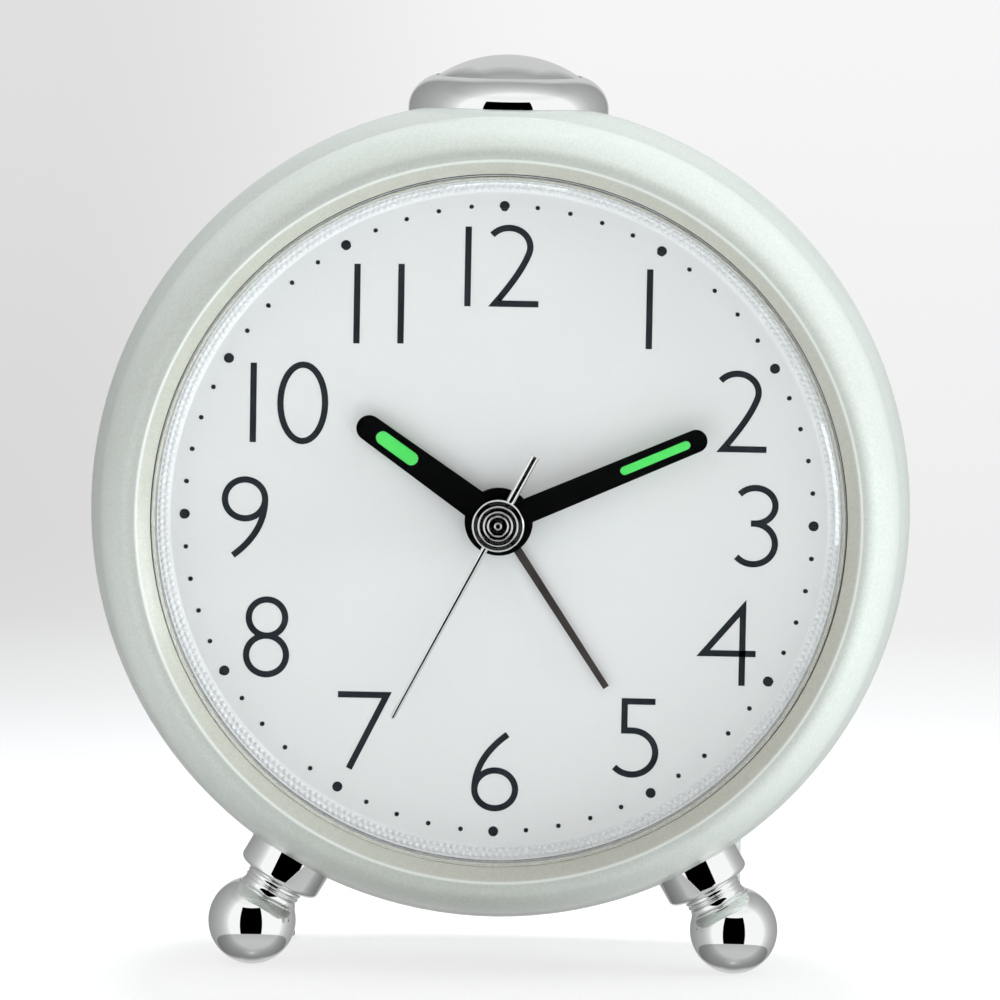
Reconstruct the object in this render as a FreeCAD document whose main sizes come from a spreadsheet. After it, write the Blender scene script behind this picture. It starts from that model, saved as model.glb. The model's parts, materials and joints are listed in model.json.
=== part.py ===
import FreeCAD, Part
import math
import os

import Sketcher

# A round quartz alarm clock on two chrome ball feet, with a chrome snooze button on top.
# Every size is in millimetres. Inside a piece, x runs to the right, y runs back from the crest
# of the bezel and z runs up from the axis of the hands. The piece's Placement then stands the
# clock on z = 0, with its face towards -Y.

SIZES = {
    # case and bezel
    "case_radius": 51.0,
    "seam_inset": 1.5,
    "bezel_depth": 8.0,
    "belly_setback": 7.7,
    "back_inset": 6.0,
    "wall": 2.0,
    "bezel_width": 4.6,
    "chamfer_width": 2.1,
    "chamfer_depth": 1.6,
    "lip_length": 0.8,
    "glazing_seat": 1.4,
    "spigot_length": 1.8,
    "spigot_wall": 1.0,
    # clearances
    "seat_gap": 0.1,
    "running_gap": 0.05,
    "press_gap": 0.02,
    "glazing_gap": 0.2,
    "screw_gap": 0.05,
    # lens, beaded ring, dial and the disc that carries it
    "lens_thickness": 1.2,
    "flange_thickness": 1.0,
    "shoulder_width": 4.3,
    "shoulder_rise": 2.2,
    "lens_rise": 5.0,
    "lens_edge_setback": 0.7,
    "bead_ring_width": 3.5,
    "bead_ring_slope": 2.0,
    "bead_ring_depth": 1.2,
    "dial_thickness": 0.5,
    "dial_bore": 3.6,
    "carrier_thickness": 1.5,
    # pillars and their screws
    "pillar_inset": 6.5,
    "pillar_radius": 2.6,
    "web_thickness": 1.6,
    "screw_radius": 1.2,
    "screw_length": 8.0,
    "screw_hole_depth": 9.0,
    "head_radius": 2.3,
    "head_height": 0.8,
    "head_recess": 0.9,
    # front ball feet
    "foot_angle": 30.0,
    "foot_seat_depth": 0.8,
    "foot_collar_radius": 5.4,
    "foot_collar_height": 3.9,
    "foot_collar_round": 0.8,
    "foot_cove_radius": 3.9,
    "foot_neck_radius": 3.5,
    "foot_neck_height": 1.2,
    "ball_radius": 5.5,
    "ball_reach": 10.2,
    "foot_boss_radius": 4.5,
    "foot_boss_height": 3.7,
    "foot_screw_radius": 1.5,
    "foot_screw_reach": 5.0,
    "foot_head_radius": 2.75,
    "foot_head_height": 2.0,
    "washer_radius": 3.5,
    "washer_thickness": 0.5,
    # rear legs
    "leg_spread": 28.5,
    "leg_depth": 37.0,
    "leg_radius": 2.8,
    "leg_spigot_radius": 1.6,
    "leg_spigot_length": 3.0,
    "leg_boss_height": 4.9,
    "leg_seat_margin": 0.2,
    "pad_thickness": 1.5,
    # snooze button
    "button_depth": 22.5,
    "turret_sink": 2.7,
    "turret_thickness": 3.3,
    "collar_radius": 12.5,
    "collar_wall_height": 1.7,
    "collar_round": 3.3,
    "collar_lip": 1.7,
    "button_radius": 9.0,
    "button_flange": 1.0,
    "button_flange_height": 0.9,
    "button_rise": 0.6,
    "button_dome": 2.5,
    "button_travel": 1.2,
    "stem_radius": 2.0,
    "stem_reach": 5.7,
    "snooze_coil_radius": 5.0,
    "snooze_wire_radius": 0.25,
    "snooze_turns": 2.5,
    "switch_width": 6.0,
    "switch_height": 2.6,
    "plunger_radius": 1.6,
    "plunger_height": 0.8,
    "switch_board_half": 10.0,
    "switch_board_width": 10.0,
    "board_thickness": 1.2,
    "board_post_spread": 8.0,
    "board_post_radius": 1.4,
    # hands
    "alarm_hand_setback": 3.6,
    "alarm_hand_thickness": 0.2,
    "alarm_hand_length": 24.5,
    "alarm_hand_root": 1.05,
    "alarm_hand_tip": 0.8,
    "alarm_hub_radius": 3.4,
    "alarm_hand_angle": 146.3,
    "hour_hand_setback": 2.6,
    "hand_thickness": 0.3,
    "hour_hand_length": 21.2,
    "hour_hand_root": 3.7,
    "hour_hand_tip": 3.2,
    "hour_hub_radius": 4.2,
    "hour_hand_angle": 304.9,
    "hour_lume_length": 6.0,
    "hour_lume_width": 1.72,
    "hour_lume_margin": 2.8,
    "minute_hand_setback": 1.4,
    "minute_hand_length": 27.6,
    "minute_hand_root": 3.1,
    "minute_hand_tip": 2.8,
    "minute_hub_radius": 3.0,
    "minute_hand_angle": 66.3,
    "minute_lume_length": 9.2,
    "minute_lume_width": 1.1,
    "minute_lume_margin": 2.2,
    "second_hand_rise": 0.3,
    "second_hand_length": 27.4,
    "second_hand_tail": 9.5,
    "second_hand_root": 0.8,
    "second_hand_tip": 0.5,
    "second_tail_width": 1.05,
    "second_hub_radius": 2.2,
    "second_hand_angle": 207.5,
    "cap_radius": 3.2,
    "cap_height": 2.3,
    "cap_step": 0.9,
    # tubes and arbors on the axis of the hands
    "second_arbor_radius": 0.4,
    "cannon_radius": 1.0,
    "hour_tube_radius": 1.7,
    "alarm_tube_radius": 2.3,
    "bush_radius": 3.5,
    "bush_rise": 0.4,
    # going train and motion work
    "train_module": 0.3,
    "setting_distance": 12.0,
    "third_angle": 30.0,
    "fifth_angle": 210.0,
    "rotor_angle": 150.0,
    "arbor_radius": 0.4,
    "set_shaft_radius": 1.1,
    "motion_wheel_width": 1.0,
    "motion_first_gap": 0.9,
    "motion_layer_gap": 0.5,
    "train_wheel_width": 0.8,
    "train_layer_gap": 1.0,
    "train_first_gap": 0.5,
    "pinion_margin": 0.1,
    "plate_gap": 0.3,
    # movement case
    "plate_thickness": 1.5,
    "middle_plate_thickness": 1.0,
    "movement_half": 27.0,
    "movement_top": 25.0,
    "movement_bottom": -29.0,
    "movement_wall": 1.2,
    "movement_rear_space": 3.5,
    "post_inset": 3.0,
    "post_radius": 1.6,
    "small_screw_radius": 0.7,
    "small_head_radius": 1.4,
    # motor and circuit
    "magnet_radius": 2.5,
    "magnet_length": 2.0,
    "stator_thickness": 0.8,
    "stator_half": 13.0,
    "stator_leg": 2.4,
    "stator_hole": 2.8,
    "coil_height": -24.5,
    "coil_half": 10.2,
    "coil_radius": 2.8,
    "bobbin_radius": 1.8,
    "flange_radius": 3.1,
    "coil_flange": 0.8,
    "pcb_half": 20.0,
    "pcb_bottom": 12.0,
    "pcb_top": 23.3,
    "pcb_thickness": 1.0,
    "pcb_lift": 3.0,
    "pcb_post_radius": 1.5,
    "crystal_radius": 1.0,
    "crystal_length": 8.0,
    "contact_length": 16.0,
    "contact_width": 2.0,
    "contact_thickness": 0.3,
    "contact_height": 7.0,
    # rear cover, knobs, alarm switch and buzzer
    "cover_thickness": 2.0,
    "knob_radius": 5.5,
    "knob_length": 6.0,
    "knob_gap": 1.0,
    "knob_ridge": 0.45,
    "slider_height": 12.0,
    "slider_travel": 4.0,
    "slider_stem": 1.0,
    "slider_plate_half": 3.5,
    "slider_plate_width": 2.5,
    "slider_plate_thickness": 0.9,
    "slider_cap_half": 2.2,
    "slider_cap_width": 1.8,
    "slider_cap_rise": 1.6,
    "switch_body_half": 9.0,
    "switch_body_width": 3.0,
    "switch_body_depth": 4.8,
    "switch_foot": 1.6,
    "buzzer_gap": 1.4,
    "buzzer_radius": 10.5,
    "buzzer_thickness": 3.5,
    "buzzer_wall": 1.0,
    "buzzer_wall_depth": 2.5,
    "sound_hole_radius": 0.8,
    "sound_hole_pitch": 3.2,
    # battery bay, door and cell
    "bay_centre": -18.5,
    "bay_slack": 1.3,
    "spring_room": 6.7,
    "bay_wall": 1.2,
    "bay_gap": 1.8,
    "door_thickness": 1.5,
    "door_gap": 0.15,
    "door_overlap": 0.55,
    "door_side_overlap": 1.1,
    "hinge_drop": 0.35,
    "hinge_pin_radius": 0.5,
    "hinge_pin_length": 1.2,
    "notch_radius": 3.0,
    "notch_depth": 1.0,
    "cell_radius": 7.1,
    "cell_length": 49.5,
    "cell_nipple_radius": 2.75,
    "cell_nipple_length": 1.0,
    "terminal_thickness": 0.3,
    "terminal_half": 4.0,
    "cell_coil_radius": 4.0,
    "cell_wire_radius": 0.4,
    "cell_turns": 4.0,
}

# tooth counts of the going train, the motion work and the alarm work
SECOND_TEETH = 60
SECOND_LEAVES = 8
THIRD_TEETH = 60
THIRD_LEAVES = 8
CENTRE_TEETH = 64
FIFTH_TEETH = 48
FIFTH_LEAVES = 12
ROTOR_LEAVES = 8
CANNON_LEAVES = 12
MINUTE_TEETH = 36
MINUTE_LEAVES = 10
HOUR_TEETH = 40
ALARM_TEETH = 48
ALARM_LEAVES = 12
KNOB_RIDGES = 24
PILLARS = 3

# tooth form, in modules: half widths at root and tip, and heights above and below the pitch line
WHEEL_TOOTH = (0.9, 0.3)
LEAF_TOOTH = (0.75, 0.35)
ADDENDUM = 0.8
DEDENDUM = 1.15
TOOTH_SINK = 0.2

# a spring's wire is swept in stretches of this many turns
COIL_STRETCH = 0.5

os.makedirs("parts", exist_ok=True)
doc = FreeCAD.newDocument("alarm_clock")
sheet = doc.addObject("Spreadsheet::Sheet", "dims")
pieces = []


class Size:
    """A number kept beside the formula that gives it, so that objects can be bound to the sheet."""

    def __init__(self, value, formula):
        self.value = float(value)
        self.formula = formula

    def __add__(self, other):
        other = as_size(other)
        return Size(self.value + other.value, "(%s + %s)" % (self.formula, other.formula))

    def __sub__(self, other):
        other = as_size(other)
        return Size(self.value - other.value, "(%s - %s)" % (self.formula, other.formula))

    def __mul__(self, other):
        other = as_size(other)
        return Size(self.value * other.value, "(%s * %s)" % (self.formula, other.formula))

    def __truediv__(self, other):
        other = as_size(other)
        return Size(self.value / other.value, "(%s / %s)" % (self.formula, other.formula))

    def __radd__(self, other):
        return as_size(other) + self

    def __rsub__(self, other):
        return as_size(other) - self

    def __rmul__(self, other):
        return as_size(other) * self

    def __neg__(self):
        return Size(-self.value, "(-%s)" % self.formula)


def as_size(value):
    if isinstance(value, Size):
        return value
    return Size(value, repr(float(value)))


def root(size):
    return Size(math.sqrt(size.value), "sqrt(%s)" % size.formula)


def sine(angle):
    angle = as_size(angle)
    return Size(math.sin(math.radians(angle.value)), "sin(%s)" % angle.formula)


def cosine(angle):
    angle = as_size(angle)
    return Size(math.cos(math.radians(angle.value)), "cos(%s)" % angle.formula)


class Cells:
    """The sheet's cells as attributes: d.wall is the size in the cell whose alias is wall."""

    def __init__(self, table):
        for row, (alias, value) in enumerate(table.items(), start=1):
            sheet.set("A%d" % row, alias)
            sheet.set("B%d" % row, str(value))
            sheet.setAlias("B%d" % row, alias)
            setattr(self, alias, Size(value, "dims." + alias))


d = Cells(SIZES)
doc.recompute()


def bind(target, path, size):
    """Ties one property to the formula that gives it."""
    target.setExpression(path, as_size(size).formula)


# ---------------------------------------------------------------- sketch planes

class Plane:
    """Where a sketch lies in its body, and which way its pads grow."""

    def __init__(self, role, base, axis=(0, 0, 1), turn=0.0, flip=False):
        self.role = role
        self.base = base
        self.axis = axis
        self.turn = turn
        self.flip = flip


def facing(depth, turn=0.0, height=0.0):
    """Upright plane at this depth; pads grow backwards and turn is anticlockwise from the front."""
    return Plane("XZ_Plane", (0.0, height, -as_size(depth)), turn=turn, flip=True)


def level(height, depth=0.0):
    """Horizontal plane at this height, its own origin at this depth; pads grow upwards."""
    return Plane("XY_Plane", (0.0, depth, height))


def sideways(distance):
    """Plane across x at this distance; the sketch's x is depth and pads grow to the right."""
    return Plane("YZ_Plane", (0.0, 0.0, distance))


def outward(angle, distance, depth):
    """Plane across the ray that leaves the clock's axis at this angle from straight up."""
    base = (distance * sine(angle), depth, distance * cosine(angle))
    return Plane("XY_Plane", base, axis=(0, 1, 0), turn=angle)


def radial(angle, thickness):
    """Plane that holds the clock's axis and one radius; a pad of this thickness straddles it."""
    turn = angle - 90.0
    base = (-thickness / 2 * sine(turn), 0.0, -thickness / 2 * cosine(turn))
    return Plane("XY_Plane", base, axis=(0, 1, 0), turn=turn)


def lathe():
    """Plane for an outline that is turned about the clock's own axis: radius, then depth."""
    return Plane("XY_Plane", (0.0, 0.0, 0.0))


def upright_lathe(depth):
    """Plane for an outline that is turned about a vertical axis at this depth: radius, then height."""
    return Plane("XZ_Plane", (0.0, 0.0, -depth))


# ---------------------------------------------------------------- sketch contents

class Round:
    """A circle in a sketch."""

    def __init__(self, radius, x=0.0, y=0.0):
        self.radius = as_size(radius)
        self.x = as_size(x)
        self.y = as_size(y)


def box(x_low, x_high, y_low, y_high):
    return [(x_low, y_low), (x_high, y_low), (x_high, y_high), (x_low, y_high)]


def arc_between(start, end, radius):
    """The shorter arc from start to end; a positive radius turns left on the way."""
    chord = end - start
    half = chord.Length / 2
    # rounding can leave a half circle's radius a hair short of half its chord
    rise = math.sqrt(max(radius * radius - half * half, 0.0))
    left = FreeCAD.Vector(-chord.y, chord.x, 0).normalize()
    side = 1.0 if radius > 0 else -1.0
    centre = (start + end) * 0.5 + left * (rise * side)
    circle = Part.Circle(centre, FreeCAD.Vector(0, 0, 1), abs(radius))
    first, last = (start, end) if radius > 0 else (end, start)
    angle_first = math.atan2(first.y - centre.y, first.x - centre.x)
    angle_last = math.atan2(last.y - centre.y, last.x - centre.x)
    return Part.ArcOfCircle(circle, angle_first, angle_last)


def fix_point(sketch, curve, point, x, y):
    """Ties a sketch point to the two sizes that place it."""
    for kind, axis, size in (("DistanceX", -2, x), ("DistanceY", -1, y)):
        size = as_size(size)
        if size.value == 0.0:
            sketch.addConstraint(Sketcher.Constraint("PointOnObject", curve, point, axis))
        else:
            tie = sketch.addConstraint(Sketcher.Constraint(kind, -1, 1, curve, point, size.value))
            sketch.setExpression("Constraints[%d]" % tie, size.formula)


def draw_round(sketch, circle):
    centre = FreeCAD.Vector(circle.x.value, circle.y.value, 0)
    shape = Part.Circle(centre, FreeCAD.Vector(0, 0, 1), circle.radius.value)
    curve = sketch.addGeometry(shape)
    fix_point(sketch, curve, 3, circle.x, circle.y)
    tie = sketch.addConstraint(Sketcher.Constraint("Radius", curve, circle.radius.value))
    sketch.setExpression("Constraints[%d]" % tie, circle.radius.formula)


def draw_outline(sketch, corners):
    """A closed outline; a corner with a third entry starts an arc of that radius, left turns > 0."""
    corners = [tuple(as_size(entry) for entry in corner) for corner in corners]
    vectors = [FreeCAD.Vector(corner[0].value, corner[1].value, 0) for corner in corners]
    curves = []
    for index, corner in enumerate(corners):
        start = vectors[index]
        end = vectors[(index + 1) % len(corners)]
        if len(corner) == 3:
            shape = arc_between(start, end, corner[2].value)
            begins, ends = (1, 2) if corner[2].value > 0 else (2, 1)
        else:
            shape = Part.LineSegment(start, end)
            begins, ends = 1, 2
        curves.append((sketch.addGeometry(shape), begins, ends))
    for index, (curve, begins, ends) in enumerate(curves):
        following, next_begins, _ = curves[(index + 1) % len(curves)]
        sketch.addConstraint(Sketcher.Constraint("Coincident", curve, ends, following, next_begins))
    for corner, (curve, begins, ends) in zip(corners, curves):
        fix_point(sketch, curve, begins, corner[0], corner[1])
        if len(corner) == 3:
            radius = corner[2] if corner[2].value > 0 else -corner[2]
            tie = sketch.addConstraint(Sketcher.Constraint("Radius", curve, radius.value))
            sketch.setExpression("Constraints[%d]" % tie, radius.formula)


# ---------------------------------------------------------------- pieces

def place(target, label, x, z, turn=0.0, depth=0.0):
    """Labels a finished sub-part and stands it in the clock, turned clockwise as the face is seen."""
    target.Label = label
    turning = FreeCAD.Rotation(FreeCAD.Vector(0, 1, 0), as_size(turn).value)
    target.Placement = FreeCAD.Placement(FreeCAD.Vector(0, 0, 0), turning)
    bind(target, "Placement.Base.x", x)
    bind(target, "Placement.Base.y", depth - MID_DEPTH)
    bind(target, "Placement.Base.z", AXIS_HEIGHT + z)
    if isinstance(turn, Size):
        bind(target, "Placement.Rotation.Angle", turn)
    pieces.append(target)


class Piece:
    """One separate piece, made as a body of sketched features."""

    def __init__(self, label, x=0.0, z=0.0, turn=0.0):
        self.body = doc.addObject("PartDesign::Body", label)
        self.body.AllowCompound = True
        place(self.body, label, x, z, turn)

    def sketch(self, plane, loops):
        sketch = self.body.newObject("Sketcher::SketchObject", "Sketch")
        origin = [item for item in self.body.Origin.OriginFeatures if item.Role == plane.role][0]
        sketch.AttachmentSupport = [(origin, "")]
        sketch.MapMode = "FlatFace"
        turning = FreeCAD.Rotation(FreeCAD.Vector(*plane.axis), as_size(plane.turn).value)
        sketch.AttachmentOffset = FreeCAD.Placement(FreeCAD.Vector(0, 0, 0), turning)
        for letter, size in zip("xyz", plane.base):
            bind(sketch, "AttachmentOffset.Base." + letter, size)
        if isinstance(plane.turn, Size):
            bind(sketch, "AttachmentOffset.Rotation.Angle", plane.turn)
        for loop in loops:
            if isinstance(loop, Round):
                draw_round(sketch, loop)
            else:
                draw_outline(sketch, loop)
        return sketch

    def feature(self, kind, sketch):
        feature = self.body.newObject("PartDesign::" + kind, kind)
        feature.Profile = sketch
        sketch.Visibility = False
        return feature

    def turn(self, corners, plane):
        """Turns an outline about the vertical line through its plane's own origin."""
        sketch = self.sketch(plane, [corners])
        feature = self.feature("Revolution", sketch)
        feature.ReferenceAxis = (sketch, ["V_Axis"])
        feature.Angle = 360
        return feature

    def pad(self, plane, length, *loops):
        feature = self.feature("Pad", self.sketch(plane, loops))
        feature.Reversed = plane.flip
        bind(feature, "Length", length)
        return feature

    def pocket(self, plane, length, *loops):
        feature = self.feature("Pocket", self.sketch(plane, loops))
        feature.Reversed = not plane.flip
        bind(feature, "Length", length)
        return feature

    def repeat(self, features, axis_sketch, count, axis="N_Axis"):
        """Repeats features evenly about an axis of a sketch."""
        pattern = self.body.newObject("PartDesign::PolarPattern", "PolarPattern")
        pattern.Originals = features
        pattern.Axis = (axis_sketch, [axis])
        pattern.Angle = 360
        pattern.Occurrences = count
        self.body.Tip = pattern
        return pattern

    def gear(self, teeth, module, start, width, tooth, phase=0.0):
        """A toothed disc whose first tooth stands at phase degrees, anticlockwise from the top."""
        root_half, tip_half = (module * factor for factor in tooth)
        root_radius = module * (teeth / 2 - DEDENDUM)
        tip_radius = module * (teeth / 2 + ADDENDUM)
        sunk = root_radius - module * TOOTH_SINK
        plane = facing(start, phase)
        self.pad(plane, width, Round(root_radius))
        outline = [(-root_half, sunk), (root_half, sunk), (tip_half, tip_radius), (-tip_half, tip_radius)]
        first = self.pad(plane, width, outline)
        self.repeat([first], first.Profile[0], teeth)


def coil_spring(label, radius, wire, length, turns, x=0.0, z=0.0, turn=0.0, depth=0.0):
    """A wire wound between two seats this far apart, the first of them at the piece's own origin."""
    helix = doc.addObject("Part::Helix", label + "_line")
    helix.SegmentLength = COIL_STRETCH
    bind(helix, "Pitch", (length - 2 * wire) / turns)
    bind(helix, "Height", length - 2 * wire)
    bind(helix, "Radius", radius)
    bind(helix, "Placement.Base.z", wire)
    section = doc.addObject("Part::Circle", label + "_wire")
    section.Placement = FreeCAD.Placement(
        FreeCAD.Vector(0, 0, 0), FreeCAD.Rotation(FreeCAD.Vector(1, 0, 0), 90))
    bind(section, "Placement.Base.x", radius)
    bind(section, "Placement.Base.z", wire)
    bind(section, "Radius", wire)
    coil = doc.addObject("Part::Sweep", label)
    coil.Sections = [section]
    coil.Spine = (helix, [])
    coil.Solid = True
    coil.Frenet = True
    place(coil, label, x, z, turn, depth)


# ---------------------------------------------------------------- shared lines

def shallow_arc(rise, run):
    """Radius of the arc that starts along the run and departs from it by the rise."""
    return (rise * rise + run * run) / (2 * rise)


def case_line_radius(depth, offset):
    """Radius of the case's rear curve at a depth, inside the outer skin by an offset."""
    sweep = shallow_arc(d.case_radius - BACK_RADIUS, CASE_DEPTH - BELLY)
    behind = depth - BELLY
    return d.case_radius - offset - sweep + root(sweep * sweep - behind * behind)


def mesh_phase(direction, driver_phase, driver_teeth, driven_teeth):
    """Phase of a gear in mesh with one whose own phase is known; direction points to it."""
    passed = (direction - driver_phase) * driver_teeth / 360
    return direction + 180 + (passed + 0.5) * 360 / driven_teeth


SEAM_RADIUS = d.case_radius - d.seam_inset
BACK_RADIUS = d.case_radius - d.back_inset
CREST_RADIUS = SEAM_RADIUS - d.bezel_width
PILLAR_CIRCLE = BACK_RADIUS - d.pillar_inset
BELLY = d.bezel_depth + d.belly_setback
FOOT_SEAT = d.case_radius - d.foot_seat_depth
BALL_CENTRE = FOOT_SEAT + d.ball_reach
AXIS_HEIGHT = BALL_CENTRE * cosine(d.foot_angle) + d.ball_radius

# glazing and dial, from the bezel backwards
LIP_RADIUS = CREST_RADIUS - d.chamfer_width
LENS_SEAT = d.chamfer_depth + d.lip_length
REBATE_RADIUS = LIP_RADIUS + d.glazing_seat
GLAZING_RADIUS = REBATE_RADIUS - d.glazing_gap
SHOULDER_RADIUS = LIP_RADIUS - d.shoulder_width
BEADS_BORE = GLAZING_RADIUS - d.bead_ring_width
BEADS_FRONT = LENS_SEAT + d.flange_thickness
DIAL_FRONT = BEADS_FRONT + d.bead_ring_depth
CARRIER_FRONT = DIAL_FRONT + d.dial_thickness
CARRIER_BACK = CARRIER_FRONT + d.carrier_thickness
MOUTH_RADIUS = SEAM_RADIUS - d.wall
SPIGOT_RADIUS = MOUTH_RADIUS - d.seat_gap
SKIRT_RADIUS = SPIGOT_RADIUS - d.spigot_wall
SPIGOT_END = d.bezel_depth + d.spigot_length

# wheels, from the dial side backwards
PLATE_BACK = CARRIER_BACK + d.plate_thickness
ALARM_LAYER = PLATE_BACK + d.motion_first_gap
HOUR_LAYER = ALARM_LAYER + d.motion_wheel_width + d.motion_layer_gap
MINUTE_LAYER = HOUR_LAYER + d.motion_wheel_width + d.motion_layer_gap
MIDDLE_FRONT = MINUTE_LAYER + d.motion_wheel_width + d.plate_gap
MIDDLE_BACK = MIDDLE_FRONT + d.middle_plate_thickness
CENTRE_LAYER = MIDDLE_BACK + d.train_first_gap
THIRD_LAYER = CENTRE_LAYER + d.train_wheel_width + d.train_layer_gap
SECOND_LAYER = THIRD_LAYER + d.train_wheel_width + d.train_layer_gap
FIFTH_LAYER = SECOND_LAYER + d.train_wheel_width + d.train_layer_gap
FLOOR_FRONT = FIFTH_LAYER + d.train_wheel_width + d.movement_rear_space
FLOOR_BACK = FLOOR_FRONT + d.plate_thickness
ARBOR_END = FLOOR_FRONT + d.plate_thickness / 2
ARBOR_START = MIDDLE_FRONT + d.middle_plate_thickness / 4
PINION_WIDTH = d.train_wheel_width + 2 * d.pinion_margin
STATOR_MIDDLE = THIRD_LAYER + d.magnet_length / 2
STATOR_FRONT = STATOR_MIDDLE - d.stator_thickness / 2
STATOR_BACK = STATOR_MIDDLE + d.stator_thickness / 2
PCB_BACK = FLOOR_FRONT - d.pcb_lift

# arbors, from the tooth counts
TRAIN_DISTANCE = d.train_module * (CENTRE_TEETH + THIRD_LEAVES) / 2
SECOND_MODULE = TRAIN_DISTANCE * 2 / (SECOND_LEAVES + THIRD_TEETH)
FIFTH_MODULE = TRAIN_DISTANCE * 2 / (SECOND_TEETH + FIFTH_LEAVES)
MINUTE_MODULE = d.setting_distance * 2 / (CANNON_LEAVES + MINUTE_TEETH)
HOUR_MODULE = d.setting_distance * 2 / (MINUTE_LEAVES + HOUR_TEETH)
ALARM_MODULE = d.setting_distance * 2 / (ALARM_LEAVES + ALARM_TEETH)
ROTOR_DISTANCE = d.train_module * (FIFTH_TEETH + ROTOR_LEAVES) / 2
THIRD_X = -TRAIN_DISTANCE * sine(d.third_angle)
THIRD_Z = TRAIN_DISTANCE * cosine(d.third_angle)
FIFTH_X = -TRAIN_DISTANCE * sine(d.fifth_angle)
FIFTH_Z = TRAIN_DISTANCE * cosine(d.fifth_angle)
ROTOR_X = FIFTH_X - ROTOR_DISTANCE * sine(d.rotor_angle)
ROTOR_Z = FIFTH_Z + ROTOR_DISTANCE * cosine(d.rotor_angle)

# rear cover, knobs, buzzer and battery bay, behind the movement
BAY_FRONT = FLOOR_BACK + d.bay_gap
BAY_FLOOR = BAY_FRONT + d.bay_wall
CELL_DEPTH = BAY_FLOOR + d.seat_gap + d.cell_radius
DOOR_FRONT = CELL_DEPTH + d.cell_radius + 2 * d.seat_gap
CASE_DEPTH = DOOR_FRONT + d.door_thickness
KNOB_FRONT = CASE_DEPTH + d.knob_gap
KNOB_END = KNOB_FRONT + d.knob_length
MID_DEPTH = (KNOB_END - d.lens_rise) / 2
COVER_FRONT = CASE_DEPTH - d.cover_thickness
COVER_RADIUS = BACK_RADIUS - d.wall - d.seat_gap
BUZZER_POCKET = d.buzzer_radius + d.seat_gap
BUZZER_WALL_RADIUS = BUZZER_POCKET + d.buzzer_wall
BUZZER_HEIGHT = d.slider_height + d.switch_body_width + d.buzzer_gap + BUZZER_WALL_RADIUS
BAY_HALF_HEIGHT = d.cell_radius + d.bay_slack / 2
BAY_TOP = d.bay_centre + BAY_HALF_HEIGHT
BAY_BOTTOM = d.bay_centre - BAY_HALF_HEIGHT
BAY_HALF = (d.cell_length + d.cell_nipple_length + d.spring_room) / 2 + d.terminal_thickness
DOOR_TOP = BAY_TOP + d.door_overlap
DOOR_HALF = BAY_HALF + d.door_side_overlap
HINGE_HEIGHT = BAY_BOTTOM - d.hinge_drop
HINGE_DEPTH = CASE_DEPTH - d.door_thickness / 2

# snooze button
TURRET_FLOOR = d.case_radius - d.turret_sink
COLLAR_WALL_TOP = TURRET_FLOOR + d.collar_wall_height
COLLAR_LEDGE = COLLAR_WALL_TOP + d.collar_round
BUTTON_EDGE = COLLAR_LEDGE + d.button_rise
BUTTON_TOP = BUTTON_EDGE + d.button_dome
STEM_END = TURRET_FLOOR - d.stem_reach
LIP_UNDERSIDE = COLLAR_LEDGE - d.collar_lip
FLANGE_TOP = LIP_UNDERSIDE - d.running_gap
FLANGE_BOTTOM = FLANGE_TOP - d.button_flange_height
TURRET_UNDERSIDE = TURRET_FLOOR - d.turret_thickness
PLUNGER_TOP = STEM_END - d.button_travel - d.seat_gap
SWITCH_TOP = PLUNGER_TOP - d.plunger_height
SWITCH_BOARD_TOP = SWITCH_TOP - d.switch_height
SWITCH_BOARD_BOTTOM = SWITCH_BOARD_TOP - d.board_thickness

# feet and legs
FOOT_COLLAR_END = FOOT_SEAT + d.foot_collar_height
FOOT_BOSS_END = FOOT_SEAT - d.foot_boss_height
LEG_BACK = d.leg_depth + d.leg_radius + d.seat_gap
LEG_SIDE = d.leg_spread + d.leg_radius + d.seat_gap
LEG_SKIN = case_line_radius(LEG_BACK, 0)
LEG_SEAT = d.leg_seat_margin - root(LEG_SKIN * LEG_SKIN - LEG_SIDE * LEG_SIDE)


# ---------------------------------------------------------------- case, bezel and glazing

def front_bezel():
    """A turned ring: convex outside, a chamfer down to the lens lip, and a spigot behind."""
    diagonal = cosine(45)
    short = 1 - diagonal
    width = SEAM_RADIUS - CREST_RADIUS
    spread = diagonal * diagonal - short * short
    big = (diagonal * d.bezel_depth - short * width) / spread
    small = (diagonal * width - short * d.bezel_depth) / spread
    piece = Piece("front_bezel")
    piece.turn([
        (SEAM_RADIUS, d.bezel_depth, -big),
        (SEAM_RADIUS - big * short, d.bezel_depth - big * diagonal, -small),
        (CREST_RADIUS, 0),
        (LIP_RADIUS, d.chamfer_depth),
        (LIP_RADIUS, LENS_SEAT),
        (REBATE_RADIUS, LENS_SEAT),
        (REBATE_RADIUS, CARRIER_FRONT),
        (SKIRT_RADIUS, CARRIER_FRONT),
        (SKIRT_RADIUS, SPIGOT_END),
        (SPIGOT_RADIUS, SPIGOT_END),
        (SPIGOT_RADIUS, d.bezel_depth),
    ], lathe())


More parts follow.
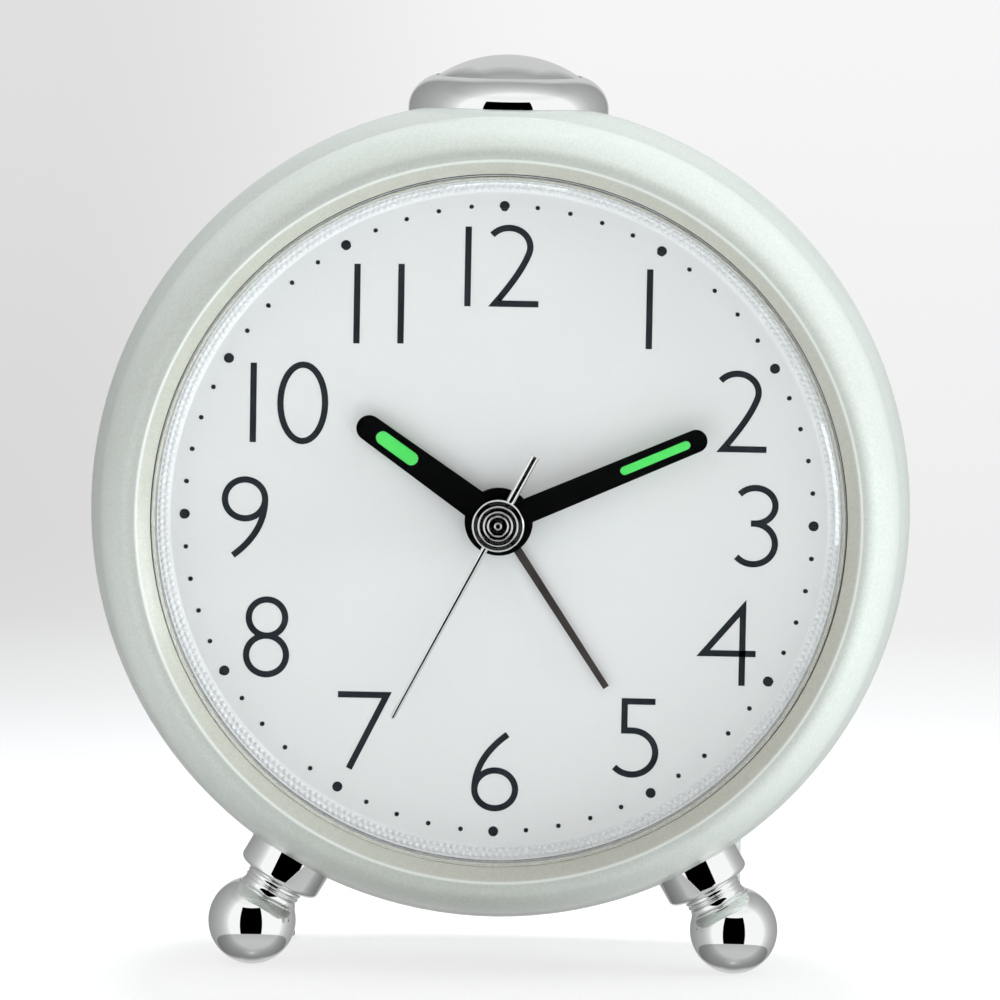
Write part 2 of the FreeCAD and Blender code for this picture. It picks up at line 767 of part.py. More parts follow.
def lens():
    """A clear pressed dome with a steep shoulder, held by its flange behind the bezel's lip."""
    edge = LIP_RADIUS - d.glazing_gap
    inner_edge = edge - d.lens_thickness
    inner_shoulder = SHOULDER_RADIUS - d.lens_thickness / 2
    inner_front = d.lens_thickness - d.shoulder_rise
    inner_setback = d.lens_edge_setback + d.lens_thickness / 2
    dome_rise = d.lens_rise - d.shoulder_rise
    piece = Piece("lens")
    piece.turn([
        (GLAZING_RADIUS, LENS_SEAT),
        (edge, LENS_SEAT),
        (edge, d.lens_edge_setback,
         -shallow_arc(edge - SHOULDER_RADIUS, d.lens_edge_setback + d.shoulder_rise)),
        (SHOULDER_RADIUS, -d.shoulder_rise, -shallow_arc(dome_rise, SHOULDER_RADIUS)),
        (0, -d.lens_rise),
        (0, d.lens_thickness - d.lens_rise, shallow_arc(dome_rise, inner_shoulder)),
        (inner_shoulder, inner_front,
         shallow_arc(inner_edge - inner_shoulder, inner_setback - inner_front)),
        (inner_edge, inner_setback),
        (inner_edge, BEADS_FRONT),
        (GLAZING_RADIUS, BEADS_FRONT),
    ], lathe())


def beaded_ring():
    """The sloping ring between the lens and the edge of the dial."""
    piece = Piece("beaded_ring")
    piece.turn([
        (BEADS_BORE, DIAL_FRONT),
        (GLAZING_RADIUS, DIAL_FRONT),
        (GLAZING_RADIUS, BEADS_FRONT),
        (BEADS_BORE + d.bead_ring_slope, BEADS_FRONT),
    ], lathe())


def dial():
    piece = Piece("dial")
    piece.pad(facing(DIAL_FRONT), d.dial_thickness, Round(GLAZING_RADIUS), Round(d.dial_bore))


def post_rounds(radius):
    """The four places where a screw goes through the movement."""
    side = d.movement_half - d.post_inset
    heights = (d.movement_top - d.post_inset, d.movement_bottom + d.post_inset)
    return [Round(radius, x, z) for x in (-side, side) for z in heights]


def dial_carrier():
    """The disc that the dial lies on and the movement hangs from."""
    piece = Piece("dial_carrier")
    disc = piece.pad(facing(CARRIER_FRONT), d.carrier_thickness,
                     Round(SKIRT_RADIUS - d.seat_gap), Round(d.dial_bore))
    hole = piece.pocket(facing(CARRIER_FRONT), d.carrier_thickness,
                        Round(d.screw_radius + d.screw_gap, 0, -PILLAR_CIRCLE))
    recess = piece.pocket(facing(CARRIER_FRONT), d.head_recess,
                          Round(d.head_radius + d.screw_gap, 0, -PILLAR_CIRCLE))
    piece.repeat([hole, recess], disc.Profile[0], PILLARS)
    piece.pocket(facing(CARRIER_FRONT), d.carrier_thickness,
                 *post_rounds(d.small_screw_radius + d.screw_gap))
    piece.pocket(facing(CARRIER_FRONT), d.head_recess, *post_rounds(d.small_head_radius + d.screw_gap))


def case_shell():
    """The round body: a turned wall with pillars, foot seats, a turret for the button and leg seats."""
    front_sweep = shallow_arc(d.case_radius - SEAM_RADIUS, d.belly_setback)
    rear_sweep = shallow_arc(d.case_radius - BACK_RADIUS, CASE_DEPTH - BELLY)
    piece = Piece("case_shell")
    piece.turn([
        (SEAM_RADIUS, d.bezel_depth, front_sweep),
        (d.case_radius, BELLY, rear_sweep),
        (BACK_RADIUS, CASE_DEPTH),
        (BACK_RADIUS - d.wall, CASE_DEPTH, -rear_sweep),
        (d.case_radius - d.wall, BELLY, -front_sweep),
        (MOUTH_RADIUS, d.bezel_depth),
    ], lathe())
    pillar = piece.pad(facing(CARRIER_BACK), COVER_FRONT - CARRIER_BACK,
                       Round(d.pillar_radius, 0, -PILLAR_CIRCLE))
    web = piece.pad(radial(180.0, d.web_thickness), d.web_thickness, [
        (PILLAR_CIRCLE, BELLY),
        (PILLAR_CIRCLE, COVER_FRONT),
        (case_line_radius(COVER_FRONT, d.wall / 2), COVER_FRONT, -rear_sweep),
        (d.case_radius - d.wall / 2, BELLY),
    ])
    tapping = Round(d.screw_radius + d.screw_gap, 0, -PILLAR_CIRCLE)
    front_hole = piece.pocket(facing(CARRIER_BACK), d.screw_hole_depth, tapping)
    rear_hole = piece.pocket(facing(COVER_FRONT - d.screw_hole_depth), d.screw_hole_depth, tapping)
    piece.repeat([pillar, web, front_hole, rear_hole], pillar.Profile[0], PILLARS)
    for angle in (180 - d.foot_angle, 180 + d.foot_angle):
        piece.pad(outward(angle, FOOT_BOSS_END, BELLY), d.foot_boss_height, Round(d.foot_boss_radius))
        piece.pocket(outward(angle, FOOT_SEAT, BELLY), d.foot_seat_depth,
                     Round(d.foot_collar_radius + d.seat_gap))
        piece.pocket(outward(angle, FOOT_BOSS_END, BELLY), d.foot_boss_height,
                     Round(d.foot_screw_radius + d.screw_gap))
    piece.pad(level(TURRET_UNDERSIDE, d.button_depth), d.turret_thickness, Round(d.collar_radius))
    piece.pocket(level(TURRET_FLOOR, d.button_depth), d.case_radius - TURRET_FLOOR,
                 Round(d.collar_radius + d.seat_gap))
    piece.pocket(level(TURRET_UNDERSIDE, d.button_depth), d.turret_thickness,
                 Round(d.stem_radius + d.seat_gap))
    piece.pad(level(SWITCH_BOARD_TOP, d.button_depth), TURRET_UNDERSIDE - SWITCH_BOARD_TOP,
              Round(d.board_post_radius, -d.board_post_spread),
              Round(d.board_post_radius, d.board_post_spread))
    sides = (-d.leg_spread, d.leg_spread)
    piece.pad(level(LEG_SEAT, d.leg_depth), d.leg_boss_height,
              *[Round(d.leg_radius, x) for x in sides])
    piece.pocket(level(-d.case_radius, d.leg_depth), LEG_SEAT + d.case_radius,
                 *[Round(d.leg_radius + d.seat_gap, x) for x in sides])
    piece.pocket(level(LEG_SEAT, d.leg_depth), d.leg_spigot_length + d.seat_gap,
                 *[Round(d.leg_spigot_radius + d.seat_gap, x) for x in sides])


# ---------------------------------------------------------------- feet and legs

def front_foot(label, angle):
    """A turned foot: a collar against the case, a hollow neck and a ball."""
    dip = root(d.ball_radius * d.ball_radius - d.foot_cove_radius * d.foot_cove_radius)
    ball_start = BALL_CENTRE - dip
    neck = FOOT_COLLAR_END + d.foot_neck_height
    cove = d.foot_neck_height
    piece = Piece(label, turn=angle)
    piece.turn([
        (0, FOOT_SEAT),
        (d.foot_collar_radius, FOOT_SEAT),
        (d.foot_collar_radius, FOOT_COLLAR_END - d.foot_collar_round, d.foot_collar_round),
        (d.foot_collar_radius - d.foot_collar_round, FOOT_COLLAR_END),
        (d.foot_cove_radius, FOOT_COLLAR_END, -cove),
        (d.foot_neck_radius, neck, -cove),
        (d.foot_cove_radius, ball_start, d.ball_radius),
        (d.ball_radius, BALL_CENTRE, d.ball_radius),
        (0, BALL_CENTRE + d.ball_radius),
    ], upright_lathe(BELLY))
    piece.pocket(level(FOOT_SEAT, BELLY), d.foot_screw_reach + d.seat_gap,
                 Round(d.foot_screw_radius + d.screw_gap))


def foot_fasteners():
    """From inside the case, a screw through a washer holds each front foot."""
    screws = Piece("foot_screws")
    washers = Piece("foot_washers")
    under_head = FOOT_BOSS_END - d.washer_thickness
    reach = FOOT_SEAT + d.foot_screw_reach - under_head
    for angle in (180 - d.foot_angle, 180 + d.foot_angle):
        screws.pad(outward(angle, under_head - d.foot_head_height, BELLY), d.foot_head_height,
                   Round(d.foot_head_radius))
        screws.pad(outward(angle, under_head, BELLY), reach, Round(d.foot_screw_radius))
        washers.pad(outward(angle, under_head, BELLY), d.washer_thickness,
                    Round(d.washer_radius), Round(d.foot_screw_radius + d.screw_gap))


def rear_leg(label, x):
    """A straight peg under the back of the case, plugged into its seat."""
    low = d.pad_thickness - AXIS_HEIGHT
    piece = Piece(label, x=x)
    piece.turn([
        (0, low),
        (d.leg_radius, low),
        (d.leg_radius, LEG_SEAT),
        (d.leg_spigot_radius, LEG_SEAT),
        (d.leg_spigot_radius, LEG_SEAT + d.leg_spigot_length),
        (0, LEG_SEAT + d.leg_spigot_length),
    ], upright_lathe(d.leg_depth))


def rear_leg_pads():
    piece = Piece("rear_leg_pads")
    piece.pad(level(-AXIS_HEIGHT, d.leg_depth), d.pad_thickness,
              Round(d.leg_radius, -d.leg_spread), Round(d.leg_radius, d.leg_spread))


# ---------------------------------------------------------------- snooze button

def button_collar():
    """The fixed chrome collar, whose lip keeps the button in."""
    bore = d.button_radius + d.seat_gap
    piece = Piece("button_collar")
    piece.turn([
        (d.collar_radius, TURRET_FLOOR),
        (d.collar_radius, COLLAR_WALL_TOP, d.collar_round),
        (d.collar_radius - d.collar_round, COLLAR_LEDGE),
        (bore, COLLAR_LEDGE),
        (bore, LIP_UNDERSIDE),
        (bore + d.button_flange, LIP_UNDERSIDE),
        (bore + d.button_flange, TURRET_FLOOR),
    ], upright_lathe(d.button_depth))


def snooze_button():
    """A domed cap with a flange and a stem that reaches down to the switch."""
    flange = d.button_radius + d.button_flange - d.seat_gap
    piece = Piece("snooze_button")
    piece.turn([
        (0, STEM_END),
        (d.stem_radius, STEM_END),
        (d.stem_radius, FLANGE_BOTTOM),
        (flange, FLANGE_BOTTOM),
        (flange, FLANGE_TOP),
        (d.button_radius, FLANGE_TOP),
        (d.button_radius, BUTTON_EDGE, shallow_arc(d.button_dome, d.button_radius)),
        (0, BUTTON_TOP),
    ], upright_lathe(d.button_depth))


def snooze_spring():
    coil_spring("snooze_spring", d.snooze_coil_radius, d.snooze_wire_radius,
                FLANGE_BOTTOM - TURRET_FLOOR, d.snooze_turns,
                z=TURRET_FLOOR, depth=d.button_depth)


def snooze_switch():
    half = d.switch_width / 2
    piece = Piece("snooze_switch")
    piece.pad(level(SWITCH_BOARD_TOP, d.button_depth), d.switch_height, box(-half, half, -half, half))
    piece.pad(level(SWITCH_TOP, d.button_depth), d.plunger_height, Round(d.plunger_radius))


def switch_board():
    half = d.switch_board_width / 2
    piece = Piece("switch_board")
    piece.pad(level(SWITCH_BOARD_BOTTOM, d.button_depth), d.board_thickness,
              box(-d.switch_board_half, d.switch_board_half, -half, half))


# ---------------------------------------------------------------- hands

def blade(root_width, tip_width, start, end):
    """A hand's tapered blade with a round tip."""
    tip = tip_width / 2
    side = root_width / 2
    return [(-side, start), (side, start), (tip, end - tip, tip), (0, end, tip), (-tip, end - tip)]


def stadium(width, low, high):
    """A slot with round ends, between the two heights."""
    side = width / 2
    return [
        (side, low + side),
        (side, high - side, side),
        (0, high, side),
        (-side, high - side),
        (-side, low + side, side),
        (0, low, side),
    ]


def lumed_hand(label, angle, setback, hub_radius, bore, outline, slot_width, slot_low, slot_high):
    """A flat hand with a luminous bar let into a slot near its tip."""
    hand = Piece(label, turn=angle)
    hand.pad(facing(setback), d.hand_thickness, Round(hub_radius), Round(bore + d.press_gap))
    hand.pad(facing(setback), d.hand_thickness, outline)
    hand.pocket(facing(setback), d.hand_thickness, stadium(slot_width, slot_low, slot_high))
    bar = Piece(label + "_lume", turn=angle)
    gap = d.press_gap
    bar.pad(facing(setback), d.hand_thickness,
            stadium(slot_width - 2 * gap, slot_low + gap, slot_high - gap))


def hour_hand():
    length = d.hour_hand_length
    start = (d.hour_hub_radius + d.hour_tube_radius) / 2
    high = length - d.hour_lume_margin
    lumed_hand("hour_hand", d.hour_hand_angle, d.hour_hand_setback, d.hour_hub_radius,
               d.hour_tube_radius, blade(d.hour_hand_root, d.hour_hand_tip, start, length),
               d.hour_lume_width, high - d.hour_lume_length, high)


def minute_hand():
    length = d.minute_hand_length
    start = (d.minute_hub_radius + d.cannon_radius) / 2
    high = length - d.minute_lume_margin
    lumed_hand("minute_hand", d.minute_hand_angle, d.minute_hand_setback, d.minute_hub_radius,
               d.cannon_radius, blade(d.minute_hand_root, d.minute_hand_tip, start, length),
               d.minute_lume_width, high - d.minute_lume_length, high)


def alarm_hand():
    start = (d.alarm_hub_radius + d.alarm_tube_radius) / 2
    side = d.alarm_hand_root / 2
    tip = d.alarm_hand_tip / 2
    plane = facing(d.alarm_hand_setback)
    piece = Piece("alarm_hand", turn=d.alarm_hand_angle)
    piece.pad(plane, d.alarm_hand_thickness,
              Round(d.alarm_hub_radius), Round(d.alarm_tube_radius + d.press_gap))
    piece.pad(plane, d.alarm_hand_thickness, [
        (-side, start), (side, start), (tip, d.alarm_hand_length), (-tip, d.alarm_hand_length)])


def second_hand():
    """The thin second hand with its broader tail, and the turned cap over its hub."""
    start = (d.second_hub_radius + d.second_arbor_radius) / 2
    side = d.second_hand_root / 2
    tip = d.second_hand_tip / 2
    tail = d.second_tail_width / 2
    plane = facing(-d.second_hand_rise)
    piece = Piece("second_hand", turn=d.second_hand_angle)
    piece.pad(plane, d.second_hand_rise,
              Round(d.second_hub_radius), Round(d.second_arbor_radius + d.press_gap))
    piece.pad(plane, d.second_hand_rise, [
        (-side, start), (side, start), (tip, d.second_hand_length), (-tip, d.second_hand_length)])
    piece.pad(plane, d.second_hand_rise, box(-tail, tail, -d.second_hand_tail, -start))
    base = -d.second_hand_rise
    cap = Piece("second_hand_cap", turn=d.second_hand_angle)
    cap.turn([
        (0, base - d.cap_height),
        (d.cap_radius - d.cap_step, base - d.cap_height),
        (d.cap_radius, base - d.cap_height / 2),
        (d.cap_radius, base),
        (0, base),
    ], lathe())


# ---------------------------------------------------------------- wheels

def second_wheel():
    """The sweep arbor, with the wheel of the going train and the leaves that drive the third wheel."""
    piece = Piece("second_wheel")
    piece.pad(facing(-d.second_hand_rise), ARBOR_END + d.second_hand_rise, Round(d.second_arbor_radius))
    piece.gear(SECOND_LEAVES, SECOND_MODULE, THIRD_LAYER - d.pinion_margin, PINION_WIDTH, LEAF_TOOTH)
    piece.gear(SECOND_TEETH, FIFTH_MODULE, SECOND_LAYER, d.train_wheel_width, WHEEL_TOOTH)


def third_wheel():
    phase = mesh_phase(d.third_angle, 0.0, SECOND_LEAVES, THIRD_TEETH)
    piece = Piece("third_wheel", THIRD_X, THIRD_Z)
    piece.pad(facing(ARBOR_START), ARBOR_END - ARBOR_START, Round(d.arbor_radius))
    piece.gear(THIRD_LEAVES, d.train_module, CENTRE_LAYER - d.pinion_margin, PINION_WIDTH, LEAF_TOOTH)
    piece.gear(THIRD_TEETH, SECOND_MODULE, THIRD_LAYER, d.train_wheel_width, WHEEL_TOOTH, phase)


def centre_wheel():
    """Turns once an hour on the sweep arbor and drives the cannon pinion through friction."""
    phase = mesh_phase(d.third_angle + 180, 0.0, THIRD_LEAVES, CENTRE_TEETH)
    hub_front = MINUTE_LAYER + d.motion_wheel_width + d.running_gap
    piece = Piece("centre_wheel")
    piece.pad(facing(hub_front), CENTRE_LAYER - hub_front, Round(d.cannon_radius))
    piece.gear(CENTRE_TEETH, d.train_module, CENTRE_LAYER, d.train_wheel_width, WHEEL_TOOTH, phase)
    piece.pocket(facing(hub_front), CENTRE_LAYER + d.train_wheel_width - hub_front,
                 Round(d.second_arbor_radius + d.running_gap))


def fifth_wheel():
    phase = mesh_phase(d.fifth_angle, 0.0, SECOND_TEETH, FIFTH_LEAVES)
    piece = Piece("fifth_wheel", FIFTH_X, FIFTH_Z)
    piece.pad(facing(ARBOR_START), ARBOR_END - ARBOR_START, Round(d.arbor_radius))
    piece.gear(FIFTH_LEAVES, FIFTH_MODULE, SECOND_LAYER - d.pinion_margin, PINION_WIDTH,
               LEAF_TOOTH, phase)
    piece.gear(FIFTH_TEETH, d.train_module, FIFTH_LAYER, d.train_wheel_width, WHEEL_TOOTH)


def rotor():
    """The motor's rotor: a pinion on its arbor, and the magnet pressed onto the arbor."""
    phase = mesh_phase(d.rotor_angle, 0.0, FIFTH_TEETH, ROTOR_LEAVES)
    pinion = Piece("rotor_pinion", ROTOR_X, ROTOR_Z)
    pinion.pad(facing(ARBOR_START), ARBOR_END - ARBOR_START, Round(d.arbor_radius))
    pinion.gear(ROTOR_LEAVES, d.train_module, FIFTH_LAYER - d.pinion_margin, PINION_WIDTH,
                LEAF_TOOTH, phase)
    magnet = Piece("rotor_magnet", ROTOR_X, ROTOR_Z)
    magnet.pad(facing(THIRD_LAYER), d.magnet_length,
               Round(d.magnet_radius), Round(d.arbor_radius + d.press_gap))


def cannon_pinion():
    """The tube that carries the minute hand."""
    phase = mesh_phase(90.0, 0.0, MINUTE_TEETH, CANNON_LEAVES)
    length = MINUTE_LAYER + d.motion_wheel_width - d.minute_hand_setback
    piece = Piece("cannon_pinion")
    piece.pad(facing(d.minute_hand_setback), length, Round(d.cannon_radius))
    piece.gear(CANNON_LEAVES, MINUTE_MODULE, MINUTE_LAYER, d.motion_wheel_width, LEAF_TOOTH, phase)
    piece.pocket(facing(d.minute_hand_setback), length, Round(d.second_arbor_radius + d.running_gap))


def hour_wheel():
    """The tube that carries the hour hand."""
    phase = mesh_phase(90.0, 0.0, MINUTE_LEAVES, HOUR_TEETH)
    length = HOUR_LAYER + d.motion_wheel_width - d.hour_hand_setback
    piece = Piece("hour_wheel")
    piece.pad(facing(d.hour_hand_setback), length, Round(d.hour_tube_radius))
    piece.gear(HOUR_TEETH, HOUR_MODULE, HOUR_LAYER, d.motion_wheel_width, WHEEL_TOOTH, phase)
    piece.pocket(facing(d.hour_hand_setback), length, Round(d.cannon_radius + d.running_gap))


def alarm_wheel():
    """The tube that carries the alarm hand."""
    phase = mesh_phase(270.0, 0.0, ALARM_LEAVES, ALARM_TEETH)
    length = ALARM_LAYER + d.motion_wheel_width - d.alarm_hand_setback
    piece = Piece("alarm_wheel")
    piece.pad(facing(d.alarm_hand_setback), length, Round(d.alarm_tube_radius))
    piece.gear(ALARM_TEETH, ALARM_MODULE, ALARM_LAYER, d.motion_wheel_width, WHEEL_TOOTH, phase)
    piece.pocket(facing(d.alarm_hand_setback), length, Round(d.hour_tube_radius + d.running_gap))


def set_shaft(piece):
    """A setting shaft, from its seat in the front plate out to its knob."""
    start = PLATE_BACK - d.plate_thickness / 2 + d.running_gap
    piece.pad(facing(start), KNOB_END - d.knob_gap - start, Round(d.set_shaft_radius))


def minute_wheel():
    """The wheel that the time knob turns, between the cannon pinion and the hour wheel."""
    piece = Piece("minute_wheel", d.setting_distance)
    set_shaft(piece)
    piece.gear(MINUTE_LEAVES, HOUR_MODULE, HOUR_LAYER, d.motion_wheel_width, LEAF_TOOTH)
    piece.gear(MINUTE_TEETH, MINUTE_MODULE, MINUTE_LAYER, d.motion_wheel_width, WHEEL_TOOTH)


def alarm_set_shaft():
    piece = Piece("alarm_set_shaft", -d.setting_distance)
    set_shaft(piece)
    piece.gear(ALARM_LEAVES, ALARM_MODULE, ALARM_LAYER, d.motion_wheel_width, LEAF_TOOTH)


# ---------------------------------------------------------------- movement case

def shaft_rounds(radius):
    return [Round(radius, -d.setting_distance), Round(radius, d.setting_distance)]


def pivot_rounds():
    """Pivot holes of the arbors that stand beside the centre."""
    hole = d.arbor_radius + d.running_gap
    return [Round(hole, THIRD_X, THIRD_Z), Round(hole, FIFTH_X, FIFTH_Z), Round(hole, ROTOR_X, ROTOR_Z)]


def movement_front_plate():
    """The plate behind the dial carrier, with the bush for the hands' tubes and four spacers."""
    bush_front = DIAL_FRONT - d.bush_rise
    piece = Piece("movement_front_plate")
    piece.pad(facing(CARRIER_BACK), d.plate_thickness,
              box(-d.movement_half, d.movement_half, d.movement_bottom, d.movement_top))
    piece.pad(facing(bush_front), CARRIER_BACK - bush_front, Round(d.bush_radius))
    piece.pocket(facing(bush_front), PLATE_BACK - bush_front, Round(d.alarm_tube_radius + d.running_gap))
    piece.pocket(facing(PLATE_BACK - d.plate_thickness / 2), d.plate_thickness / 2,
                 *shaft_rounds(d.set_shaft_radius + d.running_gap))
    piece.pad(facing(PLATE_BACK), MIDDLE_FRONT - PLATE_BACK, *post_rounds(d.post_radius))
    piece.pocket(facing(CARRIER_BACK), MIDDLE_FRONT - CARRIER_BACK,
                 *post_rounds(d.small_screw_radius + d.screw_gap))


def movement_middle_plate():
    side = d.movement_half - d.movement_wall - d.seat_gap
    top = d.movement_top - d.movement_wall - d.seat_gap
    bottom = d.movement_bottom + d.movement_wall + d.seat_gap
    piece = Piece("movement_middle_plate")
    piece.pad(facing(MIDDLE_FRONT), d.middle_plate_thickness, box(-side, side, bottom, top))
    piece.pocket(facing(MIDDLE_FRONT), d.middle_plate_thickness,
                 Round(d.cannon_radius + d.running_gap), *pivot_rounds(),
                 *shaft_rounds(d.set_shaft_radius + d.running_gap),
                 *post_rounds(d.small_screw_radius + d.screw_gap))


def movement_rear_case():
    """A box that closes the movement from behind, with posts for its plates, motor and circuit."""
    side = d.movement_half
    wall = d.movement_wall
    outer = box(-side, side, d.movement_bottom, d.movement_top)
    inner = box(wall - side, side - wall, d.movement_bottom + wall, d.movement_top - wall)
    piece = Piece("movement_rear_case")
    piece.pad(facing(FLOOR_FRONT), d.plate_thickness, outer)
    piece.pad(facing(PLATE_BACK), FLOOR_FRONT - PLATE_BACK, outer, inner)
    piece.pad(facing(MIDDLE_BACK), FLOOR_FRONT - MIDDLE_BACK, *post_rounds(d.post_radius))
    piece.pocket(facing(MIDDLE_BACK), d.screw_length, *post_rounds(d.small_screw_radius + d.screw_gap))
    piece.pocket(facing(FLOOR_FRONT), d.plate_thickness,
                 Round(d.second_arbor_radius + d.running_gap), *pivot_rounds(),
                 *shaft_rounds(d.set_shaft_radius + d.running_gap))
    pcb_middle = (d.pcb_bottom + d.pcb_top) / 2
    pcb_post = d.pcb_half - 2 * d.pcb_post_radius
    piece.pad(facing(FLOOR_FRONT - d.pcb_lift), d.pcb_lift,
              Round(d.pcb_post_radius, -pcb_post, pcb_middle),
              Round(d.pcb_post_radius, pcb_post, pcb_middle))
    stator_post = d.stator_half - d.stator_leg / 2
    piece.pad(facing(STATOR_BACK), FLOOR_FRONT - STATOR_BACK,
              Round(d.stator_leg / 2, -stator_post, ROTOR_Z),
              Round(d.stator_leg / 2, stator_post, ROTOR_Z))


def movement_screws():
    """Four screws from the dial side, through the plates into the rear case."""
    seat = CARRIER_FRONT + d.head_recess
    piece = Piece("movement_screws")
    piece.pad(facing(seat - d.head_height), d.head_height, *post_rounds(d.small_head_radius))
    piece.pad(facing(seat), MIDDLE_BACK + d.screw_length - d.seat_gap - seat,
              *post_rounds(d.small_screw_radius))


# ---------------------------------------------------------------- motor and circuit

def coil_bobbin():
    """A tube with two flanges, slipped over the stator's lower leg."""
    leg = d.stator_leg / 2 + d.running_gap
    piece = Piece("coil_bobbin")
    piece.pad(sideways(-d.coil_half), 2 * d.coil_half,
              Round(d.bobbin_radius, STATOR_MIDDLE, d.coil_height))
    for start in (-d.coil_half, d.coil_half - d.coil_flange):
        piece.pad(sideways(start), d.coil_flange, Round(d.flange_radius, STATOR_MIDDLE, d.coil_height))
    piece.pocket(sideways(-d.coil_half), 2 * d.coil_half,
                 box(STATOR_FRONT - d.running_gap, STATOR_BACK + d.running_gap,
                     d.coil_height - leg, d.coil_height + leg))


def coil_winding():
    half = d.coil_half - d.coil_flange
    piece = Piece("coil_winding")
    piece.pad(sideways(-half), 2 * half, Round(d.coil_radius, STATOR_MIDDLE, d.coil_height),
              Round(d.bobbin_radius + d.press_gap, STATOR_MIDDLE, d.coil_height))


def stator():
    """A flat iron frame: the coil sits on its lower leg and the rotor turns in its upper one."""
    side = d.stator_half
    leg = d.stator_leg
    yoke = d.stator_hole + leg / 2
    piece = Piece("stator")
    piece.pad(facing(STATOR_FRONT), d.stator_thickness,
              box(-side, side, d.coil_height - leg / 2, ROTOR_Z + yoke),
              box(leg - side, side - leg, d.coil_height + leg / 2, ROTOR_Z - yoke),
              Round(d.stator_hole, ROTOR_X, ROTOR_Z))


def circuit_board():
    piece = Piece("circuit_board")
    piece.pad(facing(PCB_BACK - d.pcb_thickness), d.pcb_thickness,
              box(-d.pcb_half, d.pcb_half, d.pcb_bottom, d.pcb_top))


def quartz_crystal():
    piece = Piece("quartz_crystal")
    piece.pad(sideways(0.0), d.crystal_length,
              Round(d.crystal_radius, PCB_BACK + d.crystal_radius, (d.pcb_bottom + d.pcb_top) / 2))


def alarm_contact_spring():
    """The leaf on the front plate that the alarm wheel rubs against."""
    half = d.contact_width / 2
    start = d.alarm_tube_radius + d.contact_width
    piece = Piece("alarm_contact_spring")
    piece.pad(facing(PLATE_BACK), d.contact_thickness,
              box(-start - d.contact_length, -start, d.contact_height - half, d.contact_height + half))


# ---------------------------------------------------------------- rear cover and what it holds

def rear_cover():
    """The flat back, with the battery bay, knob holes, alarm switch slot and sound holes."""
    wall = d.bay_wall
    piece = Piece("rear_cover")
    plate = piece.pad(facing(COVER_FRONT), d.cover_thickness, Round(COVER_RADIUS))
    piece.pad(facing(BAY_FRONT), COVER_FRONT - BAY_FRONT,
              box(-BAY_HALF - wall, BAY_HALF + wall, BAY_BOTTOM - wall, BAY_TOP + wall))
    piece.pad(facing(COVER_FRONT - d.buzzer_wall_depth), d.buzzer_wall_depth,
              Round(BUZZER_WALL_RADIUS, 0, BUZZER_HEIGHT),
              Round(BUZZER_POCKET, 0, BUZZER_HEIGHT))
    piece.pocket(facing(BAY_FLOOR), CASE_DEPTH - BAY_FLOOR,
                 box(-BAY_HALF, BAY_HALF, BAY_BOTTOM, BAY_TOP))
    opening = DOOR_HALF + d.door_gap
    piece.pocket(facing(DOOR_FRONT - d.running_gap), d.door_thickness + d.running_gap,
                 box(-opening, opening, HINGE_HEIGHT - d.door_thickness / 2 - d.door_gap,
                     DOOR_TOP + d.door_gap))
    pin_end = opening + d.hinge_pin_length
    piece.pocket(sideways(-pin_end), 2 * pin_end,
                 Round(d.hinge_pin_radius + d.running_gap, HINGE_DEPTH, HINGE_HEIGHT))
    piece.pocket(facing(CASE_DEPTH - d.notch_depth), d.notch_depth,
                 Round(d.notch_radius, 0, DOOR_TOP))
    slot = d.slider_travel / 2 + d.slider_stem + d.seat_gap
    slot_half = d.slider_stem + d.seat_gap
    piece.pocket(facing(COVER_FRONT), d.cover_thickness,
                 *shaft_rounds(d.set_shaft_radius + d.running_gap),
                 box(-slot, slot, d.slider_height - slot_half, d.slider_height + slot_half))
    sound_plane = facing(COVER_FRONT, height=BUZZER_HEIGHT)
    centre = piece.pocket(sound_plane, d.cover_thickness, Round(d.sound_hole_radius))
    for ring in (1, 2):
        hole = piece.pocket(sound_plane, d.cover_thickness,
                            Round(d.sound_hole_radius, 0, d.sound_hole_pitch * ring))
        piece.repeat([hole], centre.Profile[0], 6 * ring)
    hole = piece.pocket(facing(COVER_FRONT), d.cover_thickness,
                        Round(d.screw_radius + d.screw_gap, 0, -PILLAR_CIRCLE))
    recess = piece.pocket(facing(CASE_DEPTH - d.head_recess), d.head_recess,
                          Round(d.head_radius + d.screw_gap, 0, -PILLAR_CIRCLE))
    piece.repeat([hole, recess], plate.Profile[0], PILLARS)


def pillar_screws(label, head_start, shank_start):
    """Three screws that stand on the circle of the case's pillars."""
    piece = Piece(label)
    head = piece.pad(facing(head_start), d.head_height, Round(d.head_radius, 0, -PILLAR_CIRCLE))
    shank = piece.pad(facing(shank_start), d.screw_length, Round(d.screw_radius, 0, -PILLAR_CIRCLE))
    piece.repeat([head, shank], head.Profile[0], PILLARS)


def knob(label, x):
    """A round knob with ridges, pressed on the end of a setting shaft."""
    plane = facing(KNOB_FRONT)
    piece = Piece(label, x)
    piece.pad(plane, d.knob_length, Round(d.knob_radius))
    ridge = piece.pad(plane, d.knob_length, Round(d.knob_ridge, 0, d.knob_radius))
    piece.repeat([ridge], ridge.Profile[0], KNOB_RIDGES)
    piece.pocket(plane, d.knob_length - d.knob_gap, Round(d.set_shaft_radius + d.press_gap))


